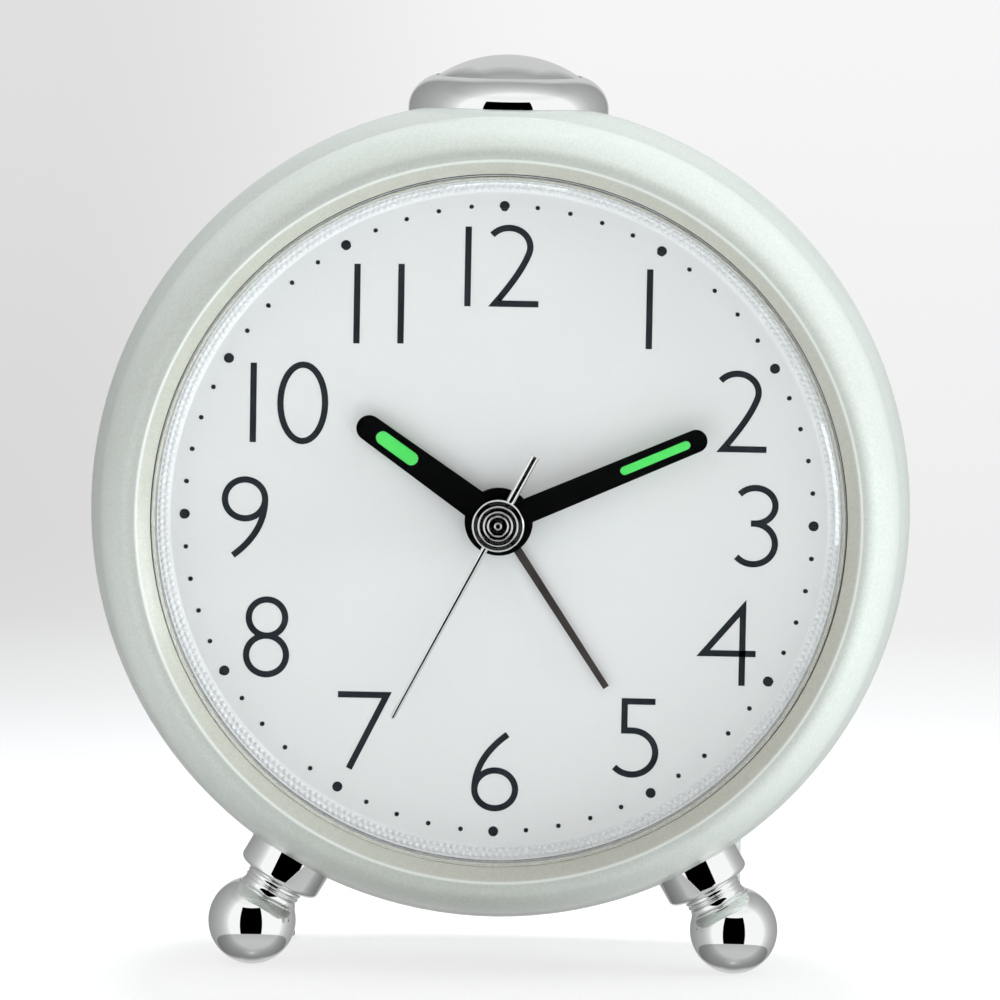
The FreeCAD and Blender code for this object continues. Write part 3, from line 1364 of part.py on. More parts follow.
def alarm_switch():
    """The slider that turns the alarm on, and the switch behind it."""
    rest = -d.slider_travel / 2
    height = d.slider_height
    plate_front = COVER_FRONT - d.seat_gap - d.slider_plate_thickness
    cap_front = CASE_DEPTH + d.seat_gap
    slider = Piece("alarm_switch_slider")
    slider.pad(facing(plate_front), d.slider_plate_thickness,
               box(rest - d.slider_plate_half, rest + d.slider_plate_half,
                   height - d.slider_plate_width, height + d.slider_plate_width))
    slider.pad(facing(plate_front + d.slider_plate_thickness),
               cap_front - plate_front - d.slider_plate_thickness,
               box(rest - d.slider_stem, rest + d.slider_stem,
                   height - d.slider_stem, height + d.slider_stem))
    slider.pad(facing(cap_front), d.slider_cap_rise,
               box(rest - d.slider_cap_half, rest + d.slider_cap_half,
                   height - d.slider_cap_width, height + d.slider_cap_width))
    back = plate_front - d.seat_gap
    half = d.switch_body_half
    low = height - d.switch_body_width
    high = height + d.switch_body_width
    body = Piece("alarm_switch_body")
    body.pad(facing(back - d.switch_body_depth), d.switch_body_depth, box(-half, half, low, high))
    body.pad(facing(back), COVER_FRONT - back,
             box(-half, d.switch_foot - half, low, high), box(half - d.switch_foot, half, low, high))


def buzzer():
    piece = Piece("buzzer")
    piece.pad(facing(COVER_FRONT - d.buzzer_thickness), d.buzzer_thickness,
              Round(d.buzzer_radius, 0, BUZZER_HEIGHT))


def battery_door():
    """A flush door whose rounded lower edge turns on two pins."""
    edge = d.door_thickness / 2
    reach = DOOR_HALF + d.hinge_pin_length
    piece = Piece("battery_door")
    piece.pad(sideways(-DOOR_HALF), 2 * DOOR_HALF, [
        (DOOR_FRONT, DOOR_TOP),
        (DOOR_FRONT, HINGE_HEIGHT, edge),
        (HINGE_DEPTH, HINGE_HEIGHT - edge, edge),
        (CASE_DEPTH, HINGE_HEIGHT),
        (CASE_DEPTH, DOOR_TOP),
    ])
    piece.pad(sideways(-reach), 2 * reach, Round(d.hinge_pin_radius, HINGE_DEPTH, HINGE_HEIGHT))


def battery():
    """An AA cell: the can, and the nipple that meets the right-hand terminal."""
    can_end = BAY_HALF - d.terminal_thickness - d.cell_nipple_length
    piece = Piece("battery")
    piece.pad(sideways(can_end - d.cell_length), d.cell_length,
              Round(d.cell_radius, CELL_DEPTH, d.bay_centre))
    piece.pad(sideways(can_end), d.cell_nipple_length,
              Round(d.cell_nipple_radius, CELL_DEPTH, d.bay_centre))


def battery_terminals():
    half = d.terminal_half
    outline = box(CELL_DEPTH - half, CELL_DEPTH + half, d.bay_centre - half, d.bay_centre + half)
    piece = Piece("battery_terminals")
    for start in (-BAY_HALF, BAY_HALF - d.terminal_thickness):
        piece.pad(sideways(start), d.terminal_thickness, outline)


def battery_spring():
    coil_spring("battery_spring", d.cell_coil_radius, d.cell_wire_radius, d.spring_room, d.cell_turns,
                x=d.terminal_thickness - BAY_HALF, z=d.bay_centre, turn=90.0, depth=CELL_DEPTH)


# ---------------------------------------------------------------- assembly

front_bezel()
lens()
beaded_ring()
dial()
dial_carrier()
case_shell()
front_foot("front_foot_right", 180 - d.foot_angle)
front_foot("front_foot_left", 180 + d.foot_angle)
foot_fasteners()
rear_leg("rear_leg_left", -d.leg_spread)
rear_leg("rear_leg_right", d.leg_spread)
rear_leg_pads()
button_collar()
snooze_button()
snooze_spring()
snooze_switch()
switch_board()
hour_hand()
minute_hand()
alarm_hand()
second_hand()
second_wheel()
third_wheel()
centre_wheel()
fifth_wheel()
rotor()
cannon_pinion()
hour_wheel()
alarm_wheel()
minute_wheel()
alarm_set_shaft()
movement_front_plate()
movement_middle_plate()
movement_rear_case()
movement_screws()
coil_bobbin()
coil_winding()
stator()
circuit_board()
quartz_crystal()
alarm_contact_spring()
rear_cover()
pillar_screws("carrier_screws", CARRIER_FRONT + d.head_recess - d.head_height,
              CARRIER_FRONT + d.head_recess)
pillar_screws("rear_cover_screws", CASE_DEPTH - d.head_recess,
              CASE_DEPTH - d.head_recess - d.screw_length)
knob("time_set_knob", d.setting_distance)
knob("alarm_set_knob", -d.setting_distance)
alarm_switch()
buzzer()
battery_door()
battery()
battery_terminals()
battery_spring()

doc.recompute()

for item in doc.Objects:
    if "Invalid" in item.State or "Error" in item.State:
        raise RuntimeError("%s did not rebuild: %s" % (item.Label, item.State))
for piece in pieces:
    if piece.Shape.isNull() or not piece.Shape.isValid():
        raise RuntimeError("%s has no valid shape" % piece.Label)
for piece in pieces:
    piece.Shape.exportStep("parts/%s.step" % piece.Label)
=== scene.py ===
import json
import math

import bmesh
import bpy
import numpy as np
from mathutils import Matrix, Vector


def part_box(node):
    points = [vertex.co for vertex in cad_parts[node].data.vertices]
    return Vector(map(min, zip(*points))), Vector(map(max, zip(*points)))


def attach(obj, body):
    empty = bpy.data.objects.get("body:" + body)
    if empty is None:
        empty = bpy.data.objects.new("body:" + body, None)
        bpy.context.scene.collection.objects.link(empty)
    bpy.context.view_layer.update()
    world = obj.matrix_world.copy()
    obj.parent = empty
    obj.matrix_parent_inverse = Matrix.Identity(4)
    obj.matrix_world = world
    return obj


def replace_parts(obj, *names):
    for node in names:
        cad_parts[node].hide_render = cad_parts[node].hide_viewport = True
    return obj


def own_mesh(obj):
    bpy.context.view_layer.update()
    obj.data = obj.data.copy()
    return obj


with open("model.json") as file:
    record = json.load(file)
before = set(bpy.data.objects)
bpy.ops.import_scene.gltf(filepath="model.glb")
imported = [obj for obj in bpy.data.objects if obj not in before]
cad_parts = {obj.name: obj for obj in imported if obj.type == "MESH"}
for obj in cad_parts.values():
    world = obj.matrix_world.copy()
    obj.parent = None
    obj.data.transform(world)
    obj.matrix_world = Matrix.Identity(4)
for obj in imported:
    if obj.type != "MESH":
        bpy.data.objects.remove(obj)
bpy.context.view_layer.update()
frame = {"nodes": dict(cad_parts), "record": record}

# A round bedside alarm clock on two ball feet: its turned, printed and plated pieces, their
# finishes, the studio and the camera. The clock's lengths are millimetres until place() or MM
# makes them metres: u runs right from the hands' axis, w up from it, and s back from the crest of
# the bezel. Welds and the studio are in metres.

MM = 0.001
WELD = 1e-7
COPY_WELD = 1e-6
FLAT_ANGLE = 0.5
EDGE_ANGLE = 40.0

DIAL_LOW, DIAL_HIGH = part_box("dial")
DIAL_FRONT = 4.6
AXIS_HEIGHT = (DIAL_LOW.z + DIAL_HIGH.z) / 2 / MM
CREST_BEFORE = DIAL_FRONT - DIAL_LOW.y / MM
ACROSS = np.array([1.0, 0.0, 0.0])
BACK = np.array([0.0, 1.0, 0.0])


# ---------------------------------------------------------------- shapes

def place(u, w, s):
    """World points of places on the clock: u right, w up, s behind the crest."""
    return np.stack(np.broadcast_arrays(u, s - CREST_BEFORE, w + AXIS_HEIGHT), axis=-1) * MM


def grid_faces(rows, columns, round_columns=True):
    """Quads between the neighbours of a grid, joined round its columns unless told not to."""
    index = np.arange(rows * columns).reshape(rows, columns)
    if round_columns:
        index = np.hstack([index, index[:, :1]])
    corners = [index[:-1, :-1], index[:-1, 1:], index[1:, 1:], index[1:, :-1]]
    return np.stack(corners, axis=-1).reshape(-1, 4)


def grid_mesh(points):
    """A mesh from rows of points that each run round: all its points, and its quads."""
    return points.reshape(-1, 3), grid_faces(*points.shape[:2])


def repeated(points, faces):
    """One small mesh in many places: its points at each of them, and its faces moved on."""
    before = np.arange(len(points))[:, None, None] * (points[0].size // 3)
    return points.reshape(-1, 3), (faces + before).reshape(-1, faces.shape[1])


def joined(parts):
    """One mesh from several: their points in a row, and faces moved on by the points before."""
    counts = np.cumsum([0] + [len(points) for points, faces in parts])
    points = np.vstack([part[0] for part in parts])
    faces = [(np.asarray(face) + before).tolist()
             for before, part in zip(counts, parts) for face in part[1]]
    return points, faces


def new_object(name, data):
    """An object in the scene for a mesh, a lamp or a camera."""
    made = bpy.data.objects.new(name, data)
    bpy.context.scene.collection.objects.link(made)
    return made


def add_piece(name, shape, slot, body, crease=30.0, finish=None):
    """A new piece: its points and faces welded, turned outwards, shaded smooth between creases. Its
    finish is its slot's, unless another one is named."""
    points, faces = shape
    mesh = bpy.data.meshes.new(name)
    mesh.from_pydata(points.reshape(-1, 3).tolist(), [], [list(face) for face in faces])
    work = bmesh.new()
    work.from_mesh(mesh)
    bmesh.ops.remove_doubles(work, verts=work.verts, dist=WELD)
    bmesh.ops.recalc_face_normals(work, faces=work.faces)
    work.to_mesh(mesh)
    work.free()
    mesh.shade_smooth()
    mesh.set_sharp_from_angle(angle=math.radians(crease))
    mesh.materials.append(FINISHES[finish or slot])
    piece = new_object(name, mesh)
    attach(piece, body)
    return piece


def sweep_angles(count):
    return np.arange(count) * (2 * math.pi / count)


def turned(profile, origin, axis, side, segments):
    """A profile of (radius, height) turned round an axis: the point at angle a is the origin,
    plus height along the axis, plus radius times (cos a along one side + sin a along the other)."""
    axis = np.asarray(axis, float)
    side = np.asarray(side, float)
    other = np.cross(axis, side)
    angles = sweep_angles(segments)
    ring = np.outer(np.cos(angles), side) + np.outer(np.sin(angles), other)
    profile = np.asarray(profile, float)
    points = profile[:, None, :1] * ring[None] + profile[:, 1, None, None] * axis
    return grid_mesh(np.asarray(origin, float) + points * MM)


def bend(centre, radii, start, end, count=26):
    """Points of an ellipse between two angles in degrees: the centre plus (a cos t, b sin t)."""
    angles = np.radians(np.linspace(start, end, count))
    return np.stack([centre[0] + radii[0] * np.cos(angles),
                     centre[1] + radii[1] * np.sin(angles)], axis=-1)


def arc(centre, radius, start, end, count):
    """Points of a circle's arc between two angles in degrees."""
    return bend(centre, (radius, radius), start, end, count)


def fillet(before, corner, after, radius, count=5):
    """A corner rounded by a circle that touches both its sides: the circle's centre lies on the
    halving line, radius / sin(half the corner) away, and the arc is swung between the tangents."""
    to_before = before - corner
    to_after = after - corner
    to_before = to_before / np.linalg.norm(to_before)
    to_after = to_after / np.linalg.norm(to_after)
    half = math.acos(max(-1.0, min(1.0, float(to_before @ to_after)))) / 2
    middle = to_before + to_after
    centre = corner + middle / np.linalg.norm(middle) * radius / math.sin(half)
    first = corner + to_before * radius / math.tan(half) - centre
    last = corner + to_after * radius / math.tan(half) - centre
    swing = math.pi - 2 * half
    share = np.linspace(0, 1, count)[:, None]
    return centre + (np.sin((1 - share) * swing) * first + np.sin(share * swing) * last) / math.sin(swing)


def eased_corners(corners, radii):
    """A closed profile of straight sides with its corners rounded, each by its own radius."""
    corners = np.asarray(corners, float)
    before = np.roll(corners, 1, axis=0)
    after = np.roll(corners, -1, axis=0)
    return np.vstack([
        fillet(b, c, a, radius) if radius else c[None]
        for b, c, a, radius in zip(before, corners, after, radii)])


def closed_profile(outline):
    return np.vstack([outline, outline[:1]])


def dial_lathe(outline, segments):
    """A profile of (radius, depth) turned round the axis of the hands."""
    return turned(outline, place(0, 0, 0), BACK, ACROSS, segments)


# ---------------------------------------------------------------- finishes

def new_group(name, inputs, outputs):
    """A node group with named inputs and outputs, and its two end nodes."""
    group = bpy.data.node_groups.new(name, "ShaderNodeTree")
    for label, kind, value in inputs:
        made = group.interface.new_socket(name=label, in_out="INPUT", socket_type="NodeSocket" + kind)
        made.default_value = value
    for label, kind in outputs:
        group.interface.new_socket(name=label, in_out="OUTPUT", socket_type="NodeSocket" + kind)
    return group, group.nodes.new("NodeGroupInput"), group.nodes.new("NodeGroupOutput")


def feed(tree, holder, value):
    """A node's input: linked when the value is a socket, set when it is a plain value."""
    if isinstance(value, bpy.types.NodeSocket):
        tree.links.new(value, holder)
    else:
        holder.default_value = value


def calculate(tree, operation, first, second=0.0):
    """A Math node on two values, each a socket or a number."""
    node = tree.nodes.new("ShaderNodeMath")
    node.operation = operation
    feed(tree, node.inputs[0], first)
    feed(tree, node.inputs[1], second)
    return node.outputs["Value"]


def ranged(tree, value, start, end, low=0.0, high=1.0, kind="LINEAR"):
    """A value brought from one range to another and held between its ends."""
    span = tree.nodes.new("ShaderNodeMapRange")
    span.interpolation_type = kind
    for label, number in (("From Min", start), ("From Max", end), ("To Min", low), ("To Max", high)):
        feed(tree, span.inputs[label], number)
    feed(tree, span.inputs["Value"], value)
    return span.outputs["Result"]


def mixed(tree, factor, first, second, kind="MIX"):
    """A colour mix: its factor and its two ends are each a socket or a plain value."""
    mix = tree.nodes.new("ShaderNodeMix")
    mix.data_type = "RGBA"
    mix.blend_type = kind
    for label, value in (("Factor", factor), ("A", first), ("B", second)):
        feed(tree, mix.inputs[label], value)
    return mix.outputs["Result"]


def mixed_shader(tree, factor, first, second):
    """A mix of two shaders."""
    mix = tree.nodes.new("ShaderNodeMixShader")
    for holder, value in zip(mix.inputs, (factor, first, second)):
        feed(tree, holder, value)
    return mix.outputs["Shader"]


def coordinates(tree, kind="Object"):
    return tree.nodes.new("ShaderNodeTexCoord").outputs[kind]


def axes_of(tree, kind):
    """The X, Y and Z of one kind of coordinates."""
    split = tree.nodes.new("ShaderNodeSeparateXYZ")
    tree.links.new(coordinates(tree, kind), split.inputs["Vector"])
    return split.outputs


def grey(level):
    return (level, level, level, 1.0)


def tone(colour):
    return (*colour, 1.0)


def noise_at(group, scale, detail):
    """Noise on Object coordinates, with its scale from the group's own input."""
    noise = group.nodes.new("ShaderNodeTexNoise")
    noise.inputs["Detail"].default_value = detail
    group.links.new(coordinates(group), noise.inputs["Vector"])
    group.links.new(scale, noise.inputs["Scale"])
    return noise.outputs["Fac"]


NOISE_MIDDLE = (0.3, 0.7)


def mottle_group():
    """Cloudy colour: the middle of a noise mixes the colour with its second tone."""
    group, inside, outside = new_group(
        "cloudy_colour",
        [("Colour", "Color", grey(0.8)), ("Second colour", "Color", grey(0.7)), ("Scale", "Float", 60.0)],
        [("Colour", "Color")])
    share = ranged(group, noise_at(group, inside.outputs["Scale"], 4.0), *NOISE_MIDDLE)
    cloudy = mixed(group, share, inside.outputs["Colour"], inside.outputs["Second colour"])
    group.links.new(cloudy, outside.inputs["Colour"])
    return group


def smudge_group():
    """Uneven gloss: roughness runs from a low to a high value as slow noise does."""
    group, inside, outside = new_group(
        "handled_gloss",
        [("Low", "Float", 0.3), ("High", "Float", 0.4), ("Scale", "Float", 40.0)],
        [("Roughness", "Float")])
    noise = noise_at(group, inside.outputs["Scale"], 3.0)
    gloss = ranged(group, noise, *NOISE_MIDDLE, inside.outputs["Low"], inside.outputs["High"])
    group.links.new(gloss, outside.inputs["Roughness"])
    return group


def grain_group():
    """Fine grain: noise as a height, for moulded and painted skins."""
    group, inside, outside = new_group("skin_grain", [("Scale", "Float", 2000.0)], [("Height", "Float")])
    noise = noise_at(group, inside.outputs["Scale"], 2.0)
    group.links.new(noise, outside.inputs["Height"])
    return group


MOTTLE = mottle_group()
SMUDGE = smudge_group()
GRAIN = grain_group()
SMUDGE_SCALE = 55.0
COAT_ROUGHNESS = 0.06


def set_inputs(node, **values):
    """A node's inputs set to plain values, each named with underscores between its words."""
    for label, value in values.items():
        node.inputs[label.replace("_", " ")].default_value = value


def use_group(tree, group, **values):
    """The outputs of a group node in a material, with its inputs set."""
    node = tree.nodes.new("ShaderNodeGroup")
    node.node_tree = group
    set_inputs(node, **values)
    return node.outputs


def new_material(name):
    """A material, its node tree and its shader."""
    material = bpy.data.materials.new(name)
    material.use_nodes = True
    return material, material.node_tree, material.node_tree.nodes["Principled BSDF"]


def new_finish(name, colour, second, gloss, cloud=60.0, grain=(2000.0, 0.004), metal=0.0, coat=0.0,
               shine=0.5):
    """A finish with cloudy colour, uneven gloss and a fine grain in its skin."""
    material, tree, shader = new_material(name)
    set_inputs(shader, Metallic=metal, Specular_IOR_Level=shine, Coat_Weight=coat,
               Coat_Roughness=COAT_ROUGHNESS)
    clouds = use_group(tree, MOTTLE, Colour=tone(colour), Second_colour=tone(second), Scale=cloud)
    tree.links.new(clouds["Colour"], shader.inputs["Base Color"])
    smudges = use_group(tree, SMUDGE, Low=gloss[0], High=gloss[1], Scale=SMUDGE_SCALE)
    tree.links.new(smudges["Roughness"], shader.inputs["Roughness"])
    skin = use_group(tree, GRAIN, Scale=grain[0])
    bump = tree.nodes.new("ShaderNodeBump")
    set_inputs(bump, Strength=1.0, Distance=grain[1] * MM)
    tree.links.new(skin["Height"], bump.inputs["Height"])
    tree.links.new(bump.outputs["Normal"], shader.inputs["Normal"])
    return material


def recolour(material, paint):
    """A finish whose base colour goes through one more step, a function of tree and colour."""
    tree = material.node_tree
    base = tree.nodes["Principled BSDF"].inputs["Base Color"]
    tree.links.new(paint(tree, base.links[0].from_socket), base)
    return material


PEARL_LIGHT = (0.505, 0.527, 0.484)
PEARL_COOL = (0.515, 0.540, 0.500)
PEARL_COAT_ROUGHNESS = 0.25
FLAKE_SCALE = 4200.0
FLAKE_TONES = (0.93, 1.07)


def flaked(tree, colour):
    """Tiny flakes: the colour times a tone that changes from one cell to the next."""
    flakes = tree.nodes.new("ShaderNodeTexVoronoi")
    flakes.inputs["Scale"].default_value = FLAKE_SCALE
    tree.links.new(coordinates(tree), flakes.inputs["Vector"])
    tones = ranged(tree, flakes.outputs["Color"], 0.0, 1.0, *FLAKE_TONES)
    return mixed(tree, 1.0, colour, tones, "MULTIPLY")


def pearl_lacquer(name, depth=1.0):
    """Pearl grey lacquer: tiny light and dark flakes over the clouds, under a clear coat. A depth under 1
    darkens its colours as painted shade.
    """
    light = tuple(depth * part for part in PEARL_LIGHT)
    cool = tuple(depth * part for part in PEARL_COOL)
    material = new_finish(name, light, cool, (0.34, 0.40), cloud=30.0, grain=(2600.0, 0.010), coat=0.7)
    shader = material.node_tree.nodes["Principled BSDF"]
    shader.inputs["Coat Roughness"].default_value = PEARL_COAT_ROUGHNESS
    return recolour(material, flaked)


# Painted light on the bezel: painted shade and a warm painted reflection on the chamfer, and a painted
# highlight line on the crest.
CHAMFER_SHADE_START = 44.35
CHAMFER_SHADE_FADE = 0.25
CHAMFER_PAINTED_SHADE = (0.96, 0.92, 0.86, 1.0)
CREST_HIGHLIGHT_RADIUS = 44.52
CREST_HIGHLIGHT_FADE = (0.22, 0.10)
CREST_PAINTED_HIGHLIGHT = (0.70, 0.72, 0.67, 1.0)


def bezel_painted_light(tree, colour):
    """Painted light on the bezel: painted shade with a warm painted reflection on the chamfer inside the
    crest, and a thin painted highlight along the crest. Both follow the distance from the hands' axis."""
    centre = tree.nodes.new("ShaderNodeMapping")
    set_inputs(centre, Location=(0, 0, -AXIS_HEIGHT * MM), Scale=(1, 0, 1))
    tree.links.new(coordinates(tree), centre.inputs["Vector"])
    length = tree.nodes.new("ShaderNodeVectorMath")
    length.operation = "LENGTH"
    tree.links.new(centre.outputs["Vector"], length.inputs[0])
    radius = length.outputs["Value"]
    inside = ranged(tree, radius, CHAMFER_SHADE_START * MM, (CHAMFER_SHADE_START - CHAMFER_SHADE_FADE) * MM)
    chamfer_shade = mixed(tree, inside, colour, CHAMFER_PAINTED_SHADE, "MULTIPLY")
    off_crest = calculate(tree, "ABSOLUTE", calculate(tree, "SUBTRACT", radius, CREST_HIGHLIGHT_RADIUS * MM))
    crest_highlight = ranged(tree, off_crest, CREST_HIGHLIGHT_FADE[0] * MM, CREST_HIGHLIGHT_FADE[1] * MM)
    return mixed(tree, crest_highlight, chamfer_shade, CREST_PAINTED_HIGHLIGHT)


LENS_INDEX = 1.49
LENS_SMUDGE = 0.003


def show(tree, shader):
    tree.links.new(shader, tree.nodes["Material Output"].inputs["Surface"])


def clear_lens():
    """Clear pressed lens: plain glass to the eye, and let through by shadow and diffuse rays."""
    material, tree, shader = new_material("clear_lens")
    set_inputs(shader, Base_Color=grey(1.0), Transmission_Weight=1.0, IOR=LENS_INDEX,
               Specular_Tint=grey(0.5))
    smudges = use_group(tree, SMUDGE, Low=0.0, High=LENS_SMUDGE, Scale=30.0)
    tree.links.new(smudges["Roughness"], shader.inputs["Roughness"])
    through = tree.nodes.new("ShaderNodeBsdfTransparent")
    path = tree.nodes.new("ShaderNodeLightPath")
    unseen = calculate(tree, "MAXIMUM", path.outputs["Is Shadow Ray"], path.outputs["Is Diffuse Ray"])
    show(tree, mixed_shader(tree, unseen, shader.outputs["BSDF"], through.outputs["BSDF"]))
    return material


CELL_BAND = (11.0, 11.2)
CELL_COPPER = (0.55, 0.30, 0.13, 1.0)


def copper_band(tree, colour):
    """A copper-coloured band at one end of the cell."""
    share = ranged(tree, axes_of(tree, "Object")["X"], CELL_BAND[0] * MM, CELL_BAND[1] * MM)
    return mixed(tree, share, colour, CELL_COPPER)


def cell_jacket():
    """Printed jacket of a dry cell: a copper-coloured band at one end of a dark green body."""
    green = new_finish("cell_jacket", (0.05, 0.16, 0.11), (0.06, 0.18, 0.12), (0.25, 0.32),
                       cloud=200.0, grain=(900.0, 0.003), coat=0.3)
    return recolour(green, copper_band)


# colour, second colour, gloss, and what else differs from a plain finish
PLAIN_FINISHES = {
    "ring_white": ((0.77, 0.785, 0.785), (0.74, 0.755, 0.755), (0.30, 0.38), dict(coat=0.1)),
    "dial_white": ((0.750, 0.758, 0.748), (0.735, 0.743, 0.734), (0.46, 0.56),
                   dict(cloud=25.0, grain=(2500.0, 0.002), shine=0.2)),
    "dial_ink": ((0.016, 0.022, 0.026), (0.024, 0.030, 0.035), (0.42, 0.55),
                 dict(cloud=400.0, grain=(3000.0, 0.002), shine=0.1)),
    "movement_white": ((0.78, 0.78, 0.76), (0.74, 0.74, 0.72), (0.42, 0.52), {}),
    "chrome": ((0.93, 0.94, 0.94), (0.91, 0.92, 0.92), (0.02, 0.035),
               dict(grain=(1500.0, 0.0002), metal=1.0)),
    "hand_black": ((0.0018, 0.0018, 0.0020), (0.0030, 0.0030, 0.0034), (0.34, 0.42),
                   dict(cloud=300.0, grain=(3500.0, 0.002), shine=0.06)),
    "alarm_hand_brown": ((0.040, 0.032, 0.030), (0.055, 0.044, 0.040), (0.30, 0.40),
                         dict(cloud=300.0, grain=(3500.0, 0.002))),
    "lume_green": ((0.065, 0.72, 0.105), (0.085, 0.78, 0.13), (0.40, 0.50),
                   dict(cloud=500.0, grain=(3000.0, 0.006))),
    "pad_rubber": ((0.05, 0.05, 0.05), (0.065, 0.065, 0.065), (0.70, 0.85),
                   dict(cloud=300.0, grain=(2500.0, 0.02))),
    "rear_plastic": ((0.50, 0.525, 0.495), (0.48, 0.505, 0.475), (0.42, 0.52),
                     dict(cloud=40.0, grain=(1700.0, 0.045))),
    "knob_plastic": ((0.035, 0.035, 0.038), (0.045, 0.045, 0.048), (0.35, 0.48),
                     dict(cloud=200.0, grain=(2000.0, 0.015))),
    "black_plastic": ((0.03, 0.03, 0.033), (0.038, 0.038, 0.042), (0.45, 0.6),
                      dict(cloud=200.0, grain=(2000.0, 0.02))),
    "steel": ((0.66, 0.67, 0.69), (0.60, 0.61, 0.63), (0.22, 0.34), dict(metal=1.0, cloud=350.0)),
    "terminal_brass": ((0.74, 0.60, 0.30), (0.68, 0.54, 0.27), (0.22, 0.34),
                       dict(metal=1.0, cloud=300.0)),
    "magnet_grey": ((0.18, 0.18, 0.19), (0.13, 0.13, 0.14), (0.5, 0.65),
                    dict(metal=0.6, cloud=900.0, grain=(2200.0, 0.02))),
    "copper_wire": ((0.60, 0.27, 0.12), (0.50, 0.21, 0.09), (0.25, 0.38),
                    dict(metal=1.0, cloud=700.0, grain=(5000.0, 0.03))),
    "board_green": ((0.03, 0.17, 0.075), (0.025, 0.14, 0.06), (0.25, 0.35),
                    dict(cloud=500.0, grain=(1200.0, 0.008), coat=0.3)),
    "gear_nylon": ((0.80, 0.79, 0.73), (0.76, 0.75, 0.69), (0.35, 0.45), dict(cloud=250.0)),
}
# The case shell and rear legs take a darker copy of the bezel's lacquer: painted shade for sides that face
# away from the light.
CASE_PAINTED_SHADE_DEPTH = 0.84
FINISHES = {name: new_finish(name, *row[:3], **row[3]) for name, row in PLAIN_FINISHES.items()}
FINISHES["pearl_lacquer"] = pearl_lacquer("pearl_lacquer", CASE_PAINTED_SHADE_DEPTH)
# The bezel's lacquer carries painted shade on its chamfer and a painted highlight on its crest.
FINISHES["bezel_lacquer_painted_light"] = recolour(pearl_lacquer("bezel_lacquer_painted_light"), bezel_painted_light)
FINISHES["clear_lens"] = clear_lens()
FINISHES["cell_jacket"] = cell_jacket()


def dress_nodes():
    """Each solid of the frame takes the finish of its slot."""
    for row in frame["record"]["subparts"]:
        node = frame["nodes"][row["node"]]
        finish = FINISHES[row["material_slot"]]
        if not node.material_slots:
            node.data.materials.append(finish)
        for holder in node.material_slots:
            holder.material = finish


# ---------------------------------------------------------------- case, bezel and lens

def smoothed_node(node, slot, body, crease=25.0, edge=0.0):
    """A copy of a node's solid, welded, shaded smooth between its creases; with an edge width its
    hard edges are eased by a narrow bevel."""
    mesh = frame["nodes"][node].data.copy()
    work = bmesh.new()
    work.from_mesh(mesh)
    bmesh.ops.remove_doubles(work, verts=work.verts, dist=COPY_WELD)
    if edge:
        flat = math.radians(FLAT_ANGLE)
        bmesh.ops.dissolve_limit(work, angle_limit=flat, verts=work.verts, edges=work.edges)
    work.to_mesh(mesh)
    work.free()
    mesh.shade_smooth()
    mesh.set_sharp_from_angle(angle=math.radians(crease))
    mesh.materials.clear()
    mesh.materials.append(FINISHES[slot])
    piece = new_object(node + "_smooth", mesh)
    if edge:
        bevel = piece.modifiers.new("edge", "BEVEL")
        bevel.width = edge * MM
        bevel.segments = 2
        bevel.limit_method = "ANGLE"
        bevel.angle_limit = math.radians(EDGE_ANGLE)
        bevel.harden_normals = False
    weigh = piece.modifiers.new("flats", "WEIGHTED_NORMAL")
    weigh.keep_sharp = True
    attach(piece, body)
    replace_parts(piece, node)
    return piece


SEAM_RADIUS = 49.5
SEAM_DEPTH = 8.0
CREST_FLAT = 44.9
CREST_EDGE = 44.5
LIP_RADIUS = 42.8
LIP_FRONT, LIP_BACK = 1.6, 2.4
SEAT_RADIUS = 44.2
SEAT_BACK = 5.1
SPIGOT_INNER, SPIGOT_OUTER = 46.4, 47.4
SPIGOT_BACK = 9.8
CREST_ROUND, EDGE_ROUND = 0.28, 0.12


def front_bezel():
    """The bezel's ring: two arcs from the seam to the crest, a chamfer, the lip and the spigot. The
    arcs meet at 45 degrees: with c = cos 45 and the width from seam to crest, the outer radius is
    (depth c - width (1 - c)) / (2c - 1), and the inner one is (depth - outer c) / (1 - c)."""
    c = math.cos(math.radians(45))
    outer = (SEAM_DEPTH * c - (SEAM_RADIUS - CREST_FLAT) * (1 - c)) / (2 * c - 1)
    inner = (SEAM_DEPTH - outer * c) / (1 - c)
    big = arc((SEAM_RADIUS - outer, SEAM_DEPTH), outer, 0, -45, 18)
    small = arc((CREST_FLAT, inner), inner, -45, -90, 10)
    edge = np.array([CREST_EDGE, 0.0])
    lip = np.array([LIP_RADIUS, LIP_FRONT])
    within = np.array([
        (LIP_RADIUS, LIP_BACK), (SEAT_RADIUS, LIP_BACK), (SEAT_RADIUS, SEAT_BACK),
        (SPIGOT_INNER, SEAT_BACK), (SPIGOT_INNER, SPIGOT_BACK), (SPIGOT_OUTER, SPIGOT_BACK),
        (SPIGOT_OUTER, SEAM_DEPTH)])
    crest = fillet(small[-1], edge, lip, CREST_ROUND, 7)
    chamfer = fillet(edge, lip, within[0], EDGE_ROUND, 4)
    seam = fillet(within[-1], big[0], big[1], EDGE_ROUND, 4)
    outline = np.vstack([seam, big[1:], small[1:], crest, chamfer, within])
    return dial_lathe(closed_profile(outline), 240)


LENS_RADIUS = 42.6
LENS_WALL = 0.35
SHOULDER_RADIUS = 3.0756
SHOULDER_DEPTH = 0.7
OUTER_SWING, INNER_SWING = 109.45, 110.8
DOME_RADIUS = 266.09
DOME_FRONT = -5.0
OUTER_SPREAD, INNER_SPREAD = 8.32, 8.34
FLANGE_RADIUS = 44.0


